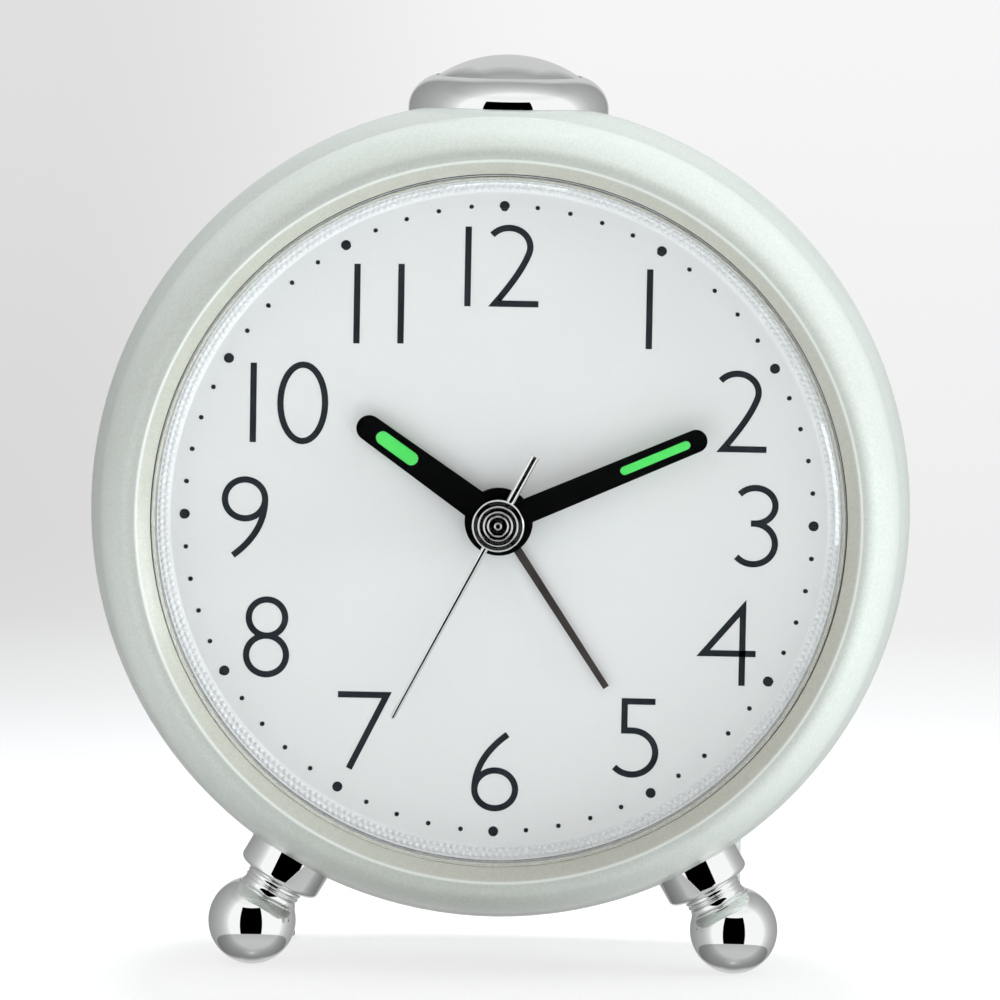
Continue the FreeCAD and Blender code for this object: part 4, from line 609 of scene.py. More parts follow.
def lens_shell():
    """The pressed lens: a dome, a steep shoulder and a flange, with an even wall: the inner arcs
    share the outer arcs' centres and are one wall less in radius."""
    shoulder = (LENS_RADIUS - SHOULDER_RADIUS, SHOULDER_DEPTH)
    dome = (0, DOME_FRONT + DOME_RADIUS)
    outer_shoulder = arc(shoulder, SHOULDER_RADIUS, 0, -OUTER_SWING, 22)
    outer_dome = arc(dome, DOME_RADIUS, OUTER_SPREAD - 90, -90, 40)
    inner_dome = arc(dome, DOME_RADIUS - LENS_WALL, -90, INNER_SPREAD - 90, 40)
    inner_shoulder = arc(shoulder, SHOULDER_RADIUS - LENS_WALL, -INNER_SWING, 0, 22)
    rim = np.array([
        (LENS_RADIUS - LENS_WALL, LIP_BACK + LENS_WALL), (FLANGE_RADIUS, LIP_BACK + LENS_WALL),
        (FLANGE_RADIUS, LIP_BACK), (LENS_RADIUS, LIP_BACK)])
    outline = np.vstack([outer_shoulder, outer_dome[1:], inner_dome, inner_shoulder[1:], rim])
    outline[:, 0] = np.maximum(outline[:, 0], 0.0)
    return dial_lathe(closed_profile(outline), 360)


# A black ring in the gap between lens and lip: painted shade.
SHADE_RING_INNER, SHADE_RING_OUTER = 42.68, 42.79
SHADE_RING_FRONT, SHADE_RING_BACK = 1.75, 2.3
SHADE_RING_ROUND = 0.03


def lens_gap_shade():
    """A thin black ring in the gap between the lens and the bezel's lip, painted shade for the shadow
    there: a rounded strip turned round.
    """
    corners = [(SHADE_RING_INNER, SHADE_RING_FRONT), (SHADE_RING_OUTER, SHADE_RING_FRONT), (SHADE_RING_OUTER, SHADE_RING_BACK),
               (SHADE_RING_INNER, SHADE_RING_BACK)]
    strip = eased_corners(corners, (SHADE_RING_ROUND, SHADE_RING_ROUND, 0, 0))
    return dial_lathe(closed_profile(strip), 240)


# ---------------------------------------------------------------- dial: beads, dots and numbers

BEADS_IN_ROW = 314
BEAD_RADIUS = 0.40
BEAD_HEIGHT = 0.26
BEAD_LEVELS = (-12.0, 25.0, 58.0, 90.0)
BEAD_SIDES = 8
RING_FALL, RING_RUN = 1.2, 2.0
BEAD_ROWS = ((41.80, 3.82, 0.0), (41.08, 4.252, 0.5))


def bead_shape():
    """A small dome: radius cos(t) across, height sin(t) off the ring, for t up to a quarter turn
    from a little under the ring's face."""
    rise = np.radians(BEAD_LEVELS)
    around = sweep_angles(BEAD_SIDES)
    across = BEAD_RADIUS * np.cos(rise)[:, None]
    points = np.stack(np.broadcast_arrays(
        across * np.cos(around), across * np.sin(around), BEAD_HEIGHT * np.sin(rise)[:, None]), axis=-1)
    return grid_mesh(points)


def copies(shape, centres, frames):
    """Copies of one small shape: each point times its place's three directions, plus the centre."""
    points, faces = shape
    return repeated(centres[:, None, :] + np.einsum("pk,nkj->npj", points, frames) * MM, faces)


def bead_row(radius, depth, offset):
    """Beads evenly round a circle on the ring's slope, standing square to that slope."""
    angles = (np.arange(BEADS_IN_ROW) + offset) * (2 * math.pi / BEADS_IN_ROW)
    outward = np.stack([np.cos(angles), np.zeros_like(angles), np.sin(angles)], axis=-1)
    around = np.stack([-np.sin(angles), np.zeros_like(angles), np.cos(angles)], axis=-1)
    slope = math.atan2(RING_FALL, RING_RUN)
    down = outward * -math.cos(slope) + BACK * math.sin(slope)
    proud = outward * -math.sin(slope) - BACK * math.cos(slope)
    centres = place(radius * np.cos(angles), radius * np.sin(angles), depth)
    return copies(bead_shape(), centres, np.stack([around, down, proud], axis=1))


def ring_beads():
    """Two rows of beads on the sloping ring, the inner row half a step on."""
    return joined([bead_row(*row) for row in BEAD_ROWS])


INK_RISE = 0.03
INK_SINK = 0.05
STROKE_RISE = 0.003
DOTS = 60
DOT_SIDES = 16
DOT_CIRCLE = 38.7
HOUR_DOT = 0.625
MINUTE_DOT = 0.29


def minute_dots():
    """Sixty printed dots on a circle, every fifth one larger: flat drums of sixteen sides."""
    angles = sweep_angles(DOTS)
    radii = np.where(np.arange(DOTS) % 5 == 0, HOUR_DOT, MINUTE_DOT)
    around = sweep_angles(DOT_SIDES)
    share = np.array([0.0, 1.0, 1.0, 0.0])
    depth = DIAL_FRONT + np.array([-INK_RISE, -INK_RISE, INK_SINK, INK_SINK])
    reach = radii[:, None, None] * share[:, None]
    u = DOT_CIRCLE * np.sin(angles)[:, None, None] + reach * np.cos(around)
    w = DOT_CIRCLE * np.cos(angles)[:, None, None] + reach * np.sin(around)
    return repeated(place(u, w, depth[:, None]), grid_faces(len(share), DOT_SIDES))


def bow(start, pull, end, count=16):
    """A curve from start to end, drawn towards pull: (1-t)^2 start + 2t(1-t) pull + t^2 end."""
    t = np.linspace(0, 1, count)[:, None]
    start, pull, end = (np.asarray(point, float) for point in (start, pull, end))
    return (1 - t) ** 2 * start + 2 * t * (1 - t) * pull + t ** 2 * end


def whole(centre, radii):
    return bend(centre, radii, 0, 350, 36)


def line(*points):
    return np.asarray(points, float)


BAR = ((line((0, -4.9), (0, 4.9)), False),)
GLYPHS = {
    "0": ((whole((0, 0), (2.75, 4.72)), True),),
    "1": BAR,
    "2": ((np.vstack([bend((-0.73, 2.33), (2.61, 2.33), 142, -20),
                      bow((1.72, 1.53), (0.85, -0.85), (-2.35, -4.65))[1:], line((3.0, -4.65))]), False),),
    "3": ((np.vstack([bend((-0.20, 2.52), (2.48, 2.2), 141, -90), line((-0.7, 0.32))]), False),
          (bend((-0.36, -2.2), (2.67, 2.52), 90, -140), False)),
    "4": ((line((1.6, -4.88), (1.6, 4.75), (-3.2, -0.9), (3.26, -0.9)), False),),
    "5": ((np.vstack([line((2.33, 4.55), (-1.46, 4.55), (-1.46, 0.92)),
                      bend((-0.47, -1.82), (2.89, 2.74), 90, -138)]), False),),
    "6": ((whole((0, -2.22), (2.52, 2.36)), True), (bow((-2.52, -2.1), (-2.41, 1.75), (1.48, 4.64)), False)),
    "7": ((line((-3.18, 4.55), (2.85, 4.55), (-1.7, -4.67)), False),),
    "8": ((whole((0.05, 2.39), (2.25, 2.25)), True), (whole((0, -2.25), (2.47, 2.41)), True)),
    "9": ((whole((0, 2.22), (2.48, 2.41)), True), (bow((2.48, 2.2), (2.5, -1.83), (-1.41, -4.78)), False)),
}
NUMBER_PLACES = (
    ("1", -4.40, 31.5), ("2", 1.37, 31.66), ("1", 18.16, 26.62), ("2", 30.0, 14.12), ("3", 32.0, -0.13),
    ("4", 28.95, -15.23), ("5", 17.57, -26.99), ("6", 0.09, -31.57), ("7", -16.45, -26.83),
    ("8", -28.70, -15.22), ("9", -31.6, -0.24), ("1", -30.75, 14.07), ("0", -24.61, 14.13),
    ("1", -18.08, 26.61), ("1", -12.62, 26.71),
)
STROKE = 0.78
NUMBER_SPREAD = 0.99
MITRE_LIMIT = 3.0


def ink_stroke(path, closed, rise):
    """A flat ribbon along a path on the dial: at each point it goes half the stroke to both sides,
    along (n1 + n2) / (1 + n1.n2) of the normals of the two sides that meet there."""
    ahead = np.roll(path, -1, axis=0) - path
    ahead = ahead / np.linalg.norm(ahead, axis=1)[:, None]
    normal = np.stack([-ahead[:, 1], ahead[:, 0]], axis=-1)
    before = np.roll(normal, 1, axis=0)
    if not closed:
        before[0] = normal[0]
        normal[-1] = before[-1]
    mitre = (before + normal) / (1 + np.sum(before * normal, axis=1))[:, None]
    length = np.linalg.norm(mitre, axis=1)[:, None]
    mitre = mitre * np.minimum(1.0, MITRE_LIMIT / length) * STROKE / 2
    sides = np.stack([path + mitre, path - mitre, path - mitre, path + mitre], axis=1)
    depth = DIAL_FRONT + np.array([-rise, -rise, INK_SINK, INK_SINK])
    points = place(sides[..., 0], sides[..., 1], depth)
    if closed:
        return grid_mesh(np.concatenate([points, points[:1]]))
    points, faces = grid_mesh(points)
    ends = np.array([[0, 1, 2, 3], [3, 2, 1, 0]]) + np.array([[0], [len(points) - 4]])
    return points, np.vstack([faces, ends])


def dial_numbers():
    """The twelve plain numbers, each glyph a few strokes about its own centre."""
    strokes = []
    for glyph, u, w in NUMBER_PLACES:
        for k, (path, closed) in enumerate(GLYPHS[glyph]):
            middle = NUMBER_SPREAD * np.array([u, w])
            strokes.append(ink_stroke(path + middle, closed, INK_RISE + STROKE_RISE * k))
    return joined(strokes)


# ---------------------------------------------------------------- hands

SECOND_ANGLE = 207.5
NEEDLE_LENGTH = 27.4
NEEDLE_TIP = 0.25
NEEDLE_HALF, NEEDLE_LOSS = 0.42, 0.10
NEEDLE_HEIGHT, FULL_HALF = 0.3, 0.40
TAIL_HALF, TAIL_DEEP, TAIL_DEPTH = 0.56, 0.38, -0.10
TAIL_STATIONS = (0.0, -2.0, -4.0, -6.0, -8.0, -9.0, -9.25, -9.27, -9.45, -9.5, -9.5)
TAIL_SIZES = (0.92, 0.95, 0.97, 0.98, 0.99, 1.0, 1.0, 1.14, 1.14, 1.05, 0.0)
HUB_RADIUS, HUB_THICK, HUB_EASE = 2.2, 0.3, 0.1


def along_hand(across, along, depth, angle):
    """World points of places on a hand that points clockwise from twelve by an angle."""
    turn = math.radians(angle)
    u = across * math.cos(turn) + along * math.sin(turn)
    w = along * math.cos(turn) - across * math.sin(turn)
    return place(u, w, depth)


def second_blade():
    """A half-round needle: half width cos(f) across, and for a full half width 0.3 sin(f) towards
    the front, for f from 0 to half a turn. Its back is flat, and its tip closes as a quarter
    circle does."""
    start = NEEDLE_LENGTH - NEEDLE_TIP
    rounding = start + NEEDLE_TIP * np.sin(np.radians([20, 45, 70, 90]))
    stations = np.concatenate([np.linspace(0.0, start, 20), rounding])
    half = NEEDLE_HALF - NEEDLE_LOSS * stations / NEEDLE_LENGTH
    half = half * np.sqrt(np.clip(1 - ((stations - start).clip(0) / NEEDLE_TIP) ** 2, 0, 1))
    around = np.linspace(0, math.pi, 11)
    across = half[:, None] * np.cos(around)
    depth = -NEEDLE_HEIGHT * (half / FULL_HALF)[:, None] ** 0.5 * np.sin(around)
    points, faces = grid_mesh(along_hand(across, stations[:, None], depth, SECOND_ANGLE))
    return points, faces.tolist() + [list(range(len(around)))[::-1]]


def second_tail():
    """The rolled tail: an oval tube with a lipped end."""
    stations = np.array(TAIL_STATIONS)
    size = np.array(TAIL_SIZES)
    around = sweep_angles(20)
    across = TAIL_HALF * size[:, None] * np.cos(around)
    depth = TAIL_DEPTH + TAIL_DEEP * size[:, None] * np.sin(around)
    points, faces = grid_mesh(along_hand(across, stations[:, None], depth, SECOND_ANGLE))
    return points, faces.tolist() + [list(range(len(around)))]


def second_hub():
    eased = HUB_RADIUS - HUB_EASE
    return dial_lathe([(0, -HUB_THICK), (eased, -HUB_THICK), (HUB_RADIUS, HUB_EASE - HUB_THICK),
                       (HUB_RADIUS, 0), (0, 0)], 48)


def second_hand():
    return joined([second_blade(), second_tail(), second_hub()])


CAP_RADIUS = 3.2
CAP_ROUND = 0.25
CAP_FRONT, CAP_FALL = -2.52, 0.20
CAP_RIDGES = np.array([0.12, 0.38, 0.54, 0.74])
RIDGE_WIDTH, RIDGE_HEIGHT = 0.022, 0.04


def cap_top(radius):
    """Depth of the cap's face: a low dome with a small rounded ridge at each of four radii."""
    share = radius / CAP_RADIUS
    bumps = np.exp(-((share[:, None] - CAP_RIDGES) / RIDGE_WIDTH) ** 2).sum(axis=1)
    return CAP_FRONT + CAP_FALL * share ** 4 - RIDGE_HEIGHT * bumps


def second_cap():
    """The turned cap over the hub: a ridged face, a round shoulder and a straight wall."""
    flat = CAP_RADIUS - CAP_ROUND
    radius = np.linspace(0, flat, 240)
    face = np.stack([radius, cap_top(radius)], axis=-1)
    shoulder = arc((flat, face[-1, 1] + CAP_ROUND), CAP_ROUND, -90, 0, 8)
    wall = np.array([(CAP_RADIUS, -HUB_THICK), (0.0, -HUB_THICK)])
    return dial_lathe(np.vstack([face, shoulder[1:], wall]), 96)


# ---------------------------------------------------------------- button and feet

BUTTON_DEPTH = 22.5
SHOULDER_CENTRE = (7.6, 49.7)
SHOULDER_SPREAD = (4.9, 4.3)
SHOULDER_TURN = 72
BORE_RADIUS, LEDGE_RADIUS, COLLAR_RADIUS = 9.1, 10.1, 12.5
COLLAR_FOOT, LEDGE_REACH, BORE_TOP = 48.3, 51.6, 53.70
BUTTON_RADIUS, BUTTON_TOP, BUTTON_RISE = 9.0, 56.4, 2.80
STEM_RADIUS, STEM_END = 2.0, 42.6
FLANGE_OUTER, FLANGE_LOW, FLANGE_HIGH = 10.0, 50.65, 51.55
BROW_REACH, BROW_ROUND = 52.0, 0.12
FOOT_DEPTH = 15.7
FOOT_COLLAR, FOOT_START, FOOT_EASE = 5.4, 50.2, 0.75
COLLAR_EDGE, THROAT_EDGE = 54.1, 4.0
THROAT_START, THROAT_END = 54.15, 56.55
THROAT_RADIUS, THROAT_FLARE = 3.56, 0.37
THROAT_RINGS = np.array([54.85, 55.40])
RING_WIDTH, RING_HEIGHT = 0.17, 0.12
BALL_RADIUS, BALL_REACH = 5.5, 60.4


def upright_lathe(outline, depth, tilt, segments):
    """A profile of (radius, reach from the hands' axis) turned round a line that leaves that axis
    at an angle from straight up, clockwise, at a depth behind the crest."""
    turn = math.radians(tilt)
    axis = np.array([math.sin(turn), 0.0, math.cos(turn)])
    return turned(outline, place(0, 0, depth), axis, BACK, segments)


def button_collar():
    """The chrome collar: part of an ellipse outside, and a plain stepped bore."""
    shoulder = bend(SHOULDER_CENTRE, SHOULDER_SPREAD, 0, SHOULDER_TURN, 30)
    bore = np.array([(BORE_RADIUS, BORE_TOP), (BORE_RADIUS, LEDGE_REACH), (LEDGE_RADIUS, LEDGE_REACH),
                     (LEDGE_RADIUS, COLLAR_FOOT), (COLLAR_RADIUS, COLLAR_FOOT)])
    return upright_lathe(closed_profile(np.vstack([shoulder, bore])), BUTTON_DEPTH, 0, 128)


def snooze_button():
    """The domed button: the stem, a lower flange, and a dome of radius (r^2 + rise^2) / (2 rise)."""
    radius = (BUTTON_RADIUS ** 2 + BUTTON_RISE ** 2) / (2 * BUTTON_RISE)
    edge = math.degrees(math.asin(BUTTON_RADIUS / radius))
    dome = arc((0, BUTTON_TOP - radius), radius, 90 - edge, 90, 30)
    brow = fillet(np.array([BUTTON_RADIUS, BROW_REACH]), dome[0], dome[1], BROW_ROUND, 4)
    lower = np.array([
        (0, STEM_END), (STEM_RADIUS, STEM_END), (STEM_RADIUS, FLANGE_LOW), (FLANGE_OUTER, FLANGE_LOW),
        (FLANGE_OUTER, FLANGE_HIGH), (BUTTON_RADIUS, FLANGE_HIGH)])
    outline = np.vstack([lower, brow, dome[1:]])
    outline[-1, 0] = 0.0
    return upright_lathe(outline, BUTTON_DEPTH, 0, 128)


def foot_neck():
    """The neck between collar and ball: a throat that flares as |2 share - 1|^3 does towards both
    ends, with two fine turned rings."""
    reach = np.linspace(THROAT_START, THROAT_END, 73)
    share = (reach - THROAT_START) / (THROAT_END - THROAT_START)
    hollow = THROAT_RADIUS + THROAT_FLARE * np.abs(2 * share - 1) ** 3
    bumps = np.exp(-((reach[:, None] - THROAT_RINGS) / RING_WIDTH) ** 2).sum(axis=1)
    return np.stack([hollow + RING_HEIGHT * bumps, reach], axis=-1)


def ball_foot(tilt):
    """A turned foot: a collar with an eased edge, the ringed throat and the ball."""
    collar = eased_corners([(FOOT_COLLAR, FOOT_START), (FOOT_COLLAR, COLLAR_EDGE),
                            (THROAT_EDGE, THROAT_START)], (0, FOOT_EASE, 0))
    throat = foot_neck()
    start = math.degrees(math.asin(throat[-1, 0] / BALL_RADIUS)) - 90
    ball = arc((0, BALL_REACH), BALL_RADIUS, start, 90, 40)
    ball[-1, 0] = 0.0
    outline = np.vstack([[(0, FOOT_START)], collar, throat, ball])
    return upright_lathe(outline, FOOT_DEPTH, tilt, 128)


# ---------------------------------------------------------------- rear

PILLAR_CIRCLE = 38.5
SCREW_HEAD_BACK, SCREW_HEAD_FRONT, SCREW_TIP = 44.9, 44.1, 36.3
HEAD_RADIUS, HEAD_ROUND, SHANK_RADIUS = 2.3, 0.2, 1.2
CROSS_HALF, CROSS_REACH, CROSS_DEPTH, CROSS_SLOPE = 0.32, 1.25, 0.5, 0.1
HEAD_RINGS = 49
RIB_HEIGHTS = np.linspace(-13.6, -18.4, 7)
RIB_REACH, RIB_END = 4.0, 0.3
RIB_HALF, RIB_RISE, DOOR_BACK = 0.26, 0.32, 44.95


def cover_screws():
    """Three pan heads with a cross recess: the head's rim is a quarter round, and the face falls to
    the recess over a slope inside the edges of the cross's two bars."""
    face = np.linspace(0, HEAD_RADIUS, HEAD_RINGS)
    radius = np.concatenate([face, [HEAD_RADIUS, SHANK_RADIUS, SHANK_RADIUS, 0.0]])
    around = sweep_angles(96)
    x = radius[:, None] * np.cos(around)
    y = radius[:, None] * np.sin(around)
    upright_bar = np.maximum(np.abs(x) - CROSS_HALF, np.abs(y) - CROSS_REACH)
    level_bar = np.maximum(np.abs(y) - CROSS_HALF, np.abs(x) - CROSS_REACH)
    recess = CROSS_DEPTH * np.clip(-np.minimum(upright_bar, level_bar) / CROSS_SLOPE, 0, 1)
    share = np.clip((radius - HEAD_RADIUS) / HEAD_ROUND + 1, 0, 1)
    rim = HEAD_ROUND * (1 - np.sqrt(1 - share ** 2))
    depth = SCREW_HEAD_BACK - rim[:, None] - recess
    shank = np.array([SCREW_HEAD_FRONT, SCREW_HEAD_FRONT, SCREW_TIP, SCREW_TIP])
    depth[HEAD_RINGS:] = shank[:, None]
    heads = []
    for angle in np.radians([60, 180, 300]):
        middle = PILLAR_CIRCLE * np.array([math.sin(angle), math.cos(angle)])
        heads.append(grid_mesh(place(middle[0] + x, middle[1] + y, depth)))
    return joined(heads)


def door_ribs():
    """Rounded finger ribs on the battery door: each a half-round bar with tapered ends."""
    full = RIB_REACH - RIB_END
    reach = np.concatenate([[-RIB_REACH], np.linspace(-full, full, 9), [RIB_REACH]])
    size = np.concatenate([[0.0], np.ones(9), [0.0]])
    around = np.linspace(0, math.pi, 9)
    bars = []
    for height in RIB_HEIGHTS:
        w = height + RIB_HALF * size[:, None] * np.cos(around)
        s = DOOR_BACK + RIB_RISE * size[:, None] * np.sin(around)
        bars.append(grid_mesh(place(reach[:, None], w, s)))
    return joined(bars)


# ---------------------------------------------------------------- studio

SWEEP_FLOOR = 1.55
SWEEP_FRONT = -1.2
SWEEP_BEND = 0.35
SWEEP_WALL = 0.85
SWEEP_HALF = 1.6
# painted shade of the sheet: place along its length, tone on the left, tone on the right
SWEEP_SHADE_TONES = (
    (0.4085, 1.000, 1.000), (0.4217, 0.985, 0.985), (0.436, 0.930, 0.955), (0.4518, 0.870, 0.925),
    (0.488, 0.755, 0.870), (0.5448, 0.690, 0.855), (0.5706, 0.700, 0.878), (0.5898, 0.722, 0.893),
    (0.6064, 0.738, 0.913), (0.6156, 0.745, 0.925),
)
SIDE_FADE = (-0.10, 0.01)
LIT_FADE = (0.44, 0.52)
GLOW_SHARE = 0.72
BOUNCE_FADE = (0.44, 0.50)
FLOOR_BOUNCE = 0.90
WALL_BOUNCE = 0.40


def studio_sweep():
    """Floor, quarter-round bend and wall in one sheet, with its length as the map's second axis."""
    turn = np.linspace(0, math.pi / 2, 40)
    floor_y = np.linspace(SWEEP_FRONT, SWEEP_FRONT + SWEEP_FLOOR, 40)
    y = np.concatenate([floor_y, floor_y[-1] + SWEEP_BEND * np.sin(turn[1:]), [floor_y[-1] + SWEEP_BEND]])
    z = np.concatenate([np.zeros(40), SWEEP_BEND * (1 - np.cos(turn[1:])), [SWEEP_BEND + SWEEP_WALL]])
    length = np.concatenate([[0], np.cumsum(np.hypot(np.diff(y), np.diff(z)))])
    x = np.array([-SWEEP_HALF, SWEEP_HALF])
    points = np.stack(np.broadcast_arrays(x[None, :], y[:, None], z[:, None]), axis=-1).reshape(-1, 3)
    faces = grid_faces(len(y), 2, round_columns=False)
    share = np.repeat(length / length[-1], 2)
    return points, faces, share


def grey_ramp(tree, value, table):
    """A grey ramp through a table of (place, tone), read at a value."""
    ramp = tree.nodes.new("ShaderNodeValToRGB")
    stops = ramp.color_ramp.elements
    for k, (at, level) in enumerate(table):
        stop = stops[k] if k < 2 else stops.new(at)
        stop.position = at
        stop.color = grey(level)
    tree.links.new(value, ramp.inputs["Fac"])
    return ramp.outputs["Color"]


def seen_directly(tree):
    """1 for what the eye, a mirror or a glass sees, and 0 for light that falls on something."""
    path = tree.nodes.new("ShaderNodeLightPath").outputs
    seen = calculate(tree, "MAXIMUM", path["Is Camera Ray"], path["Is Glossy Ray"])
    return calculate(tree, "MAXIMUM", seen, path["Is Transmission Ray"])


def sweep_finish():
    """Seamless paper, clear from behind. Its tone runs along and across the sheet as painted shade,
    darker to the left and towards the wall, and it mostly glows. Near the clock a share of it is lit
    paper that keeps the shadow, and it throws back a grey of its own."""
    material, tree, shader = new_material("studio_paper")
    tree.nodes.remove(shader)
    along = axes_of(tree, "UV")["Y"]
    left, right = (
        grey_ramp(tree, along, [(row[0], row[column]) for row in SWEEP_SHADE_TONES]) for column in (1, 2))
    side = ranged(tree, axes_of(tree, "Object")["X"], *SIDE_FADE, kind="SMOOTHSTEP")
    tones = mixed(tree, side, left, right)
    glow = tree.nodes.new("ShaderNodeEmission")
    tree.links.new(tones, glow.inputs["Color"])
    paper = tree.nodes.new("ShaderNodeBsdfDiffuse")
    tree.links.new(tones, paper.inputs["Color"])
    share = ranged(tree, along, *LIT_FADE, GLOW_SHARE, 1.0)
    shown = mixed_shader(tree, share, paper.outputs["BSDF"], glow.outputs["Emission"])
    dimmer = tree.nodes.new("ShaderNodeBsdfDiffuse")
    tree.links.new(ranged(tree, along, *BOUNCE_FADE, FLOOR_BOUNCE, WALL_BOUNCE), dimmer.inputs["Color"])
    front = mixed_shader(tree, seen_directly(tree), dimmer.outputs["BSDF"], shown)
    behind = tree.nodes.new("ShaderNodeNewGeometry").outputs["Backfacing"]
    clear = tree.nodes.new("ShaderNodeBsdfTransparent")
    show(tree, mixed_shader(tree, behind, front, clear.outputs["BSDF"]))
    return material


def add_stage():
    points, faces, share = studio_sweep()
    mesh = bpy.data.meshes.new("studio_sweep")
    mesh.from_pydata(points.tolist(), [], faces.tolist())
    chart = mesh.uv_layers.new(name="sheet")
    corner = np.zeros(len(mesh.loops), np.int32)
    mesh.loops.foreach_get("vertex_index", corner)
    along = share[corner]
    chart.data.foreach_set("uv", np.stack([np.zeros_like(along), along], axis=-1).ravel())
    mesh.shade_smooth()
    mesh.materials.append(sweep_finish())
    sweep = new_object("studio_sweep", mesh)
    sweep.visible_glossy = False
    sweep.visible_transmission = False


AIR_LIGHT = 0.81
OPENING_SLOPE = 0.56
OPENING_LOW = -0.485
OPENING_HIGH = 0.64
TENT_TURN = 0.22
TENT_FRONT_TO_BACK = (
    (0.00, 1.00), (0.34, 1.00), (0.40, 0.78), (0.47, 0.64), (0.58, 0.50), (0.72, 0.42), (1.00, 0.30),
)
TENT_WALL_DEPTH = ((0.00, 0.00), (0.60, 0.00), (0.85, 0.62), (1.00, 0.62))
TENT_WALL_SIDE = ((0.00, 1.00), (0.60, 1.00), (0.73, 0.00), (1.00, 0.00))
TENT_DOWN_TO_UP = (
    (0.00, 0.95), (0.004, 0.66), (0.02, 0.56), (0.053, 0.56), (0.11, 0.57), (0.25, 0.49),
    (0.262, 1.00), (0.84, 1.00), (0.90, 0.92), (1.00, 1.05),
)


def across_sky(tree, value, table):
    """A grey ramp over a direction's component, from -1 at the table's start to 1 at its end."""
    return grey_ramp(tree, ranged(tree, value, -1.0, 1.0), table)


def mirrored_tent(tree):
    """What polish shows of the tent: white in front and above, grey behind and below, with a paler
    wall straight behind, and a dark opening in front that reaches as far to each side as the
    opening's slope times the distance ahead."""
    x, y, z = axes_of(tree, "Generated")
    beside = calculate(tree, "ABSOLUTE", x)
    turned_right = calculate(tree, "SUBTRACT", y, calculate(tree, "MULTIPLY", x, TENT_TURN))
    level = across_sky(tree, turned_right, TENT_FRONT_TO_BACK)
    round_tent = calculate(tree, "MULTIPLY", level, across_sky(tree, z, TENT_DOWN_TO_UP))
    wall_depth = across_sky(tree, y, TENT_WALL_DEPTH)
    wall = calculate(tree, "MULTIPLY", wall_depth, across_sky(tree, beside, TENT_WALL_SIDE))
    tent = calculate(tree, "MAXIMUM", round_tent, wall)
    outside = calculate(tree, "GREATER_THAN", beside, calculate(tree, "MULTIPLY", y, -OPENING_SLOPE))
    above = calculate(tree, "GREATER_THAN", z, OPENING_HIGH)
    below = calculate(tree, "LESS_THAN", z, OPENING_LOW)
    lit = calculate(tree, "MAXIMUM", outside, calculate(tree, "MAXIMUM", above, below))
    return calculate(tree, "MULTIPLY", tent, lit)


def add_world():
    """Soft even light: polish, and glass seen in it, shows the tent, and the eye and plain glass
    see white."""
    world = bpy.data.worlds.new("studio")
    bpy.context.scene.world = world
    world.use_nodes = True
    tree = world.node_tree
    path = tree.nodes.new("ShaderNodeLightPath").outputs
    through = calculate(tree, "MAXIMUM", path["Is Camera Ray"], path["Is Transmission Ray"])
    plain = mixed(tree, through, grey(AIR_LIGHT), grey(1.0))
    mirrored = calculate(tree, "GREATER_THAN", path["Glossy Depth"], 0.5)
    glazed = calculate(tree, "MULTIPLY", path["Is Transmission Ray"], mirrored)
    polished = calculate(tree, "MAXIMUM", path["Is Glossy Ray"], glazed)
    shown = mixed(tree, polished, plain, mirrored_tent(tree))
    tree.links.new(shown, tree.nodes["Background"].inputs["Color"])


LAMP_SIDE = 0.4
LAMP_COLOUR = (0.88, 0.96, 1.0)
LAMPS = (("soft_right", (1.05, -0.10, 0.10), 12.5), ("soft_top", (0.0, 0.36, 1.05), 14.0))


def add_lamp(name, place_at, power):
    """A soft square lamp that looks at the middle of the clock."""
    lamp = bpy.data.lights.new(name, "AREA")
    lamp.shape = "SQUARE"
    lamp.size = LAMP_SIDE
    lamp.energy = power
    lamp.color = LAMP_COLOUR
    holder = new_object(name, lamp)
    holder.location = place_at
    toward = Vector((0, 0, AXIS_HEIGHT * MM)) - Vector(place_at)
    holder.rotation_euler = toward.to_track_quat("-Z", "Y").to_euler()
    holder.visible_glossy = False


LENS_LENGTH = 257.78
FILM_WIDTH = 36
CAMERA_SEES = (0.05, 20)
CAMERA_AWAY = 0.9
CAMERA_SIDE = 0.80
CAMERA_RISE = 6.20
CAMERA_ROLL = -1.06
CAMERA_AIM = Vector((-0.00018, 0, 0.05822))


def add_camera():
    """The camera a little above the clock, turned slightly about its own line of sight."""
    side, rise, roll = (math.radians(turn) for turn in (CAMERA_SIDE, CAMERA_RISE, CAMERA_ROLL))
    away = Vector((math.sin(side) * math.cos(rise), -math.cos(side) * math.cos(rise), math.sin(rise)))
    right = Vector((math.cos(side), math.sin(side), 0))
    up = away.cross(right)
    rolled_right = right * math.cos(roll) - up * math.sin(roll)
    rolled_up = up * math.cos(roll) + right * math.sin(roll)
    camera = bpy.data.cameras.new("camera")
    camera.lens = LENS_LENGTH
    camera.sensor_width = FILM_WIDTH
    camera.clip_start, camera.clip_end = CAMERA_SEES
    holder = new_object("camera", camera)
    pose = Matrix((rolled_right, rolled_up, away)).transposed().to_4x4()
    pose.translation = CAMERA_AIM + away * CAMERA_AWAY
    holder.matrix_world = pose
    bpy.context.scene.camera = holder


# ---------------------------------------------------------------- the clock and its studio

def stand_in(name, shape, slot, body, node, crease=30.0, finish=None):
    """A new piece in the place of one of the frame's nodes."""
    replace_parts(add_piece(name, shape, slot, body, crease, finish), node)


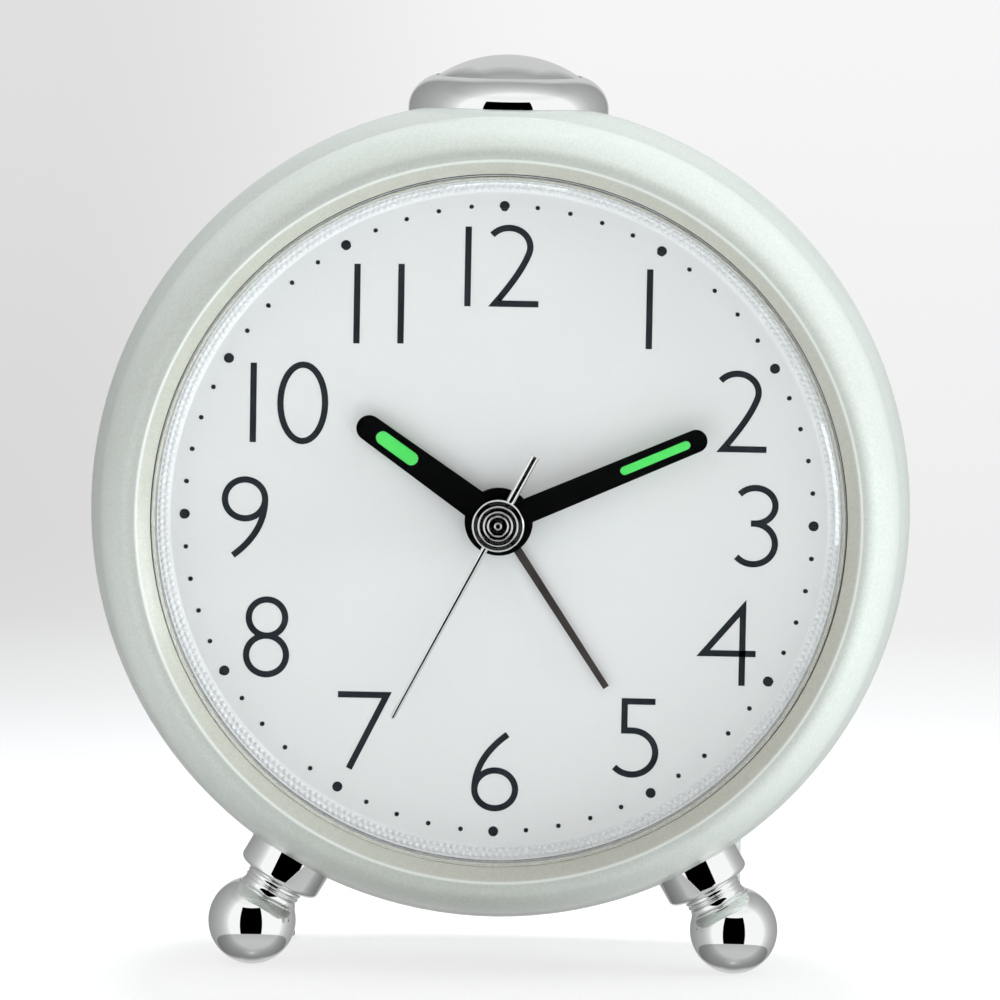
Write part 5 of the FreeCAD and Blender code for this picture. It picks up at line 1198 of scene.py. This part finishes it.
def build_clock():
    dress_nodes()
    # The bezel ring's finish paints shade on the chamfer and a highlight on the crest.
    stand_in("bezel_ring", front_bezel(), "pearl_lacquer", "case", "front_bezel", finish="bezel_lacquer_painted_light")
    stand_in("domed_lens", lens_shell(), "clear_lens", "case", "lens", 50.0)
    # A black ring as painted shade in the gap between lens and lip.
    add_piece("lens_gap_shade", lens_gap_shade(), "black_plastic", "case")
    smoothed_node("case_shell", "pearl_lacquer", "case")
    smoothed_node("beaded_ring", "ring_white", "case")
    add_piece("ring_beads", ring_beads(), "ring_white", "case", 80.0)
    add_piece("dial_numbers", dial_numbers(), "hand_black", "case", finish="dial_ink")
    add_piece("minute_dots", minute_dots(), "hand_black", "case", finish="dial_ink")
    smoothed_node("hour_hand", "hand_black", "hours", edge=0.05)
    smoothed_node("minute_hand", "hand_black", "minutes", edge=0.05)
    smoothed_node("alarm_hand", "alarm_hand_brown", "alarm_time", edge=0.04)
    smoothed_node("hour_hand_lume", "lume_green", "hours", edge=0.05)
    smoothed_node("minute_hand_lume", "lume_green", "minutes", edge=0.05)
    stand_in("second_needle", second_hand(), "chrome", "seconds", "second_hand")
    stand_in("hub_cap", second_cap(), "chrome", "seconds", "second_hand_cap", 60.0)
    stand_in("chrome_collar", button_collar(), "chrome", "case", "button_collar")
    stand_in("chrome_button", snooze_button(), "chrome", "snooze_button", "snooze_button")
    spring = smoothed_node("snooze_spring", "steel", "case")
    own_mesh(spring)
    stand_in("ball_foot_right", ball_foot(150), "chrome", "case", "front_foot_right", 60.0)
    stand_in("ball_foot_left", ball_foot(210), "chrome", "case", "front_foot_left", 60.0)
    smoothed_node("rear_leg_left", "pearl_lacquer", "case")
    smoothed_node("rear_leg_right", "pearl_lacquer", "case")
    smoothed_node("rear_leg_pads", "pad_rubber", "case", edge=0.2)
    smoothed_node("rear_cover", "rear_plastic", "case")
    smoothed_node("battery_door", "rear_plastic", "battery_door")
    smoothed_node("time_set_knob", "knob_plastic", "time_setting")
    smoothed_node("alarm_set_knob", "knob_plastic", "alarm_setting")
    smoothed_node("alarm_switch_slider", "knob_plastic", "alarm_slider", edge=0.15)
    stand_in("cover_screws", cover_screws(), "steel", "case", "rear_cover_screws", 40.0)
    add_piece("door_ribs", door_ribs(), "rear_plastic", "battery_door")


def build_studio():
    bpy.context.scene.view_settings.view_transform = "Standard"
    add_stage()
    add_world()
    for lamp in LAMPS:
        add_lamp(*lamp)
    add_camera()


build_clock()
build_studio()
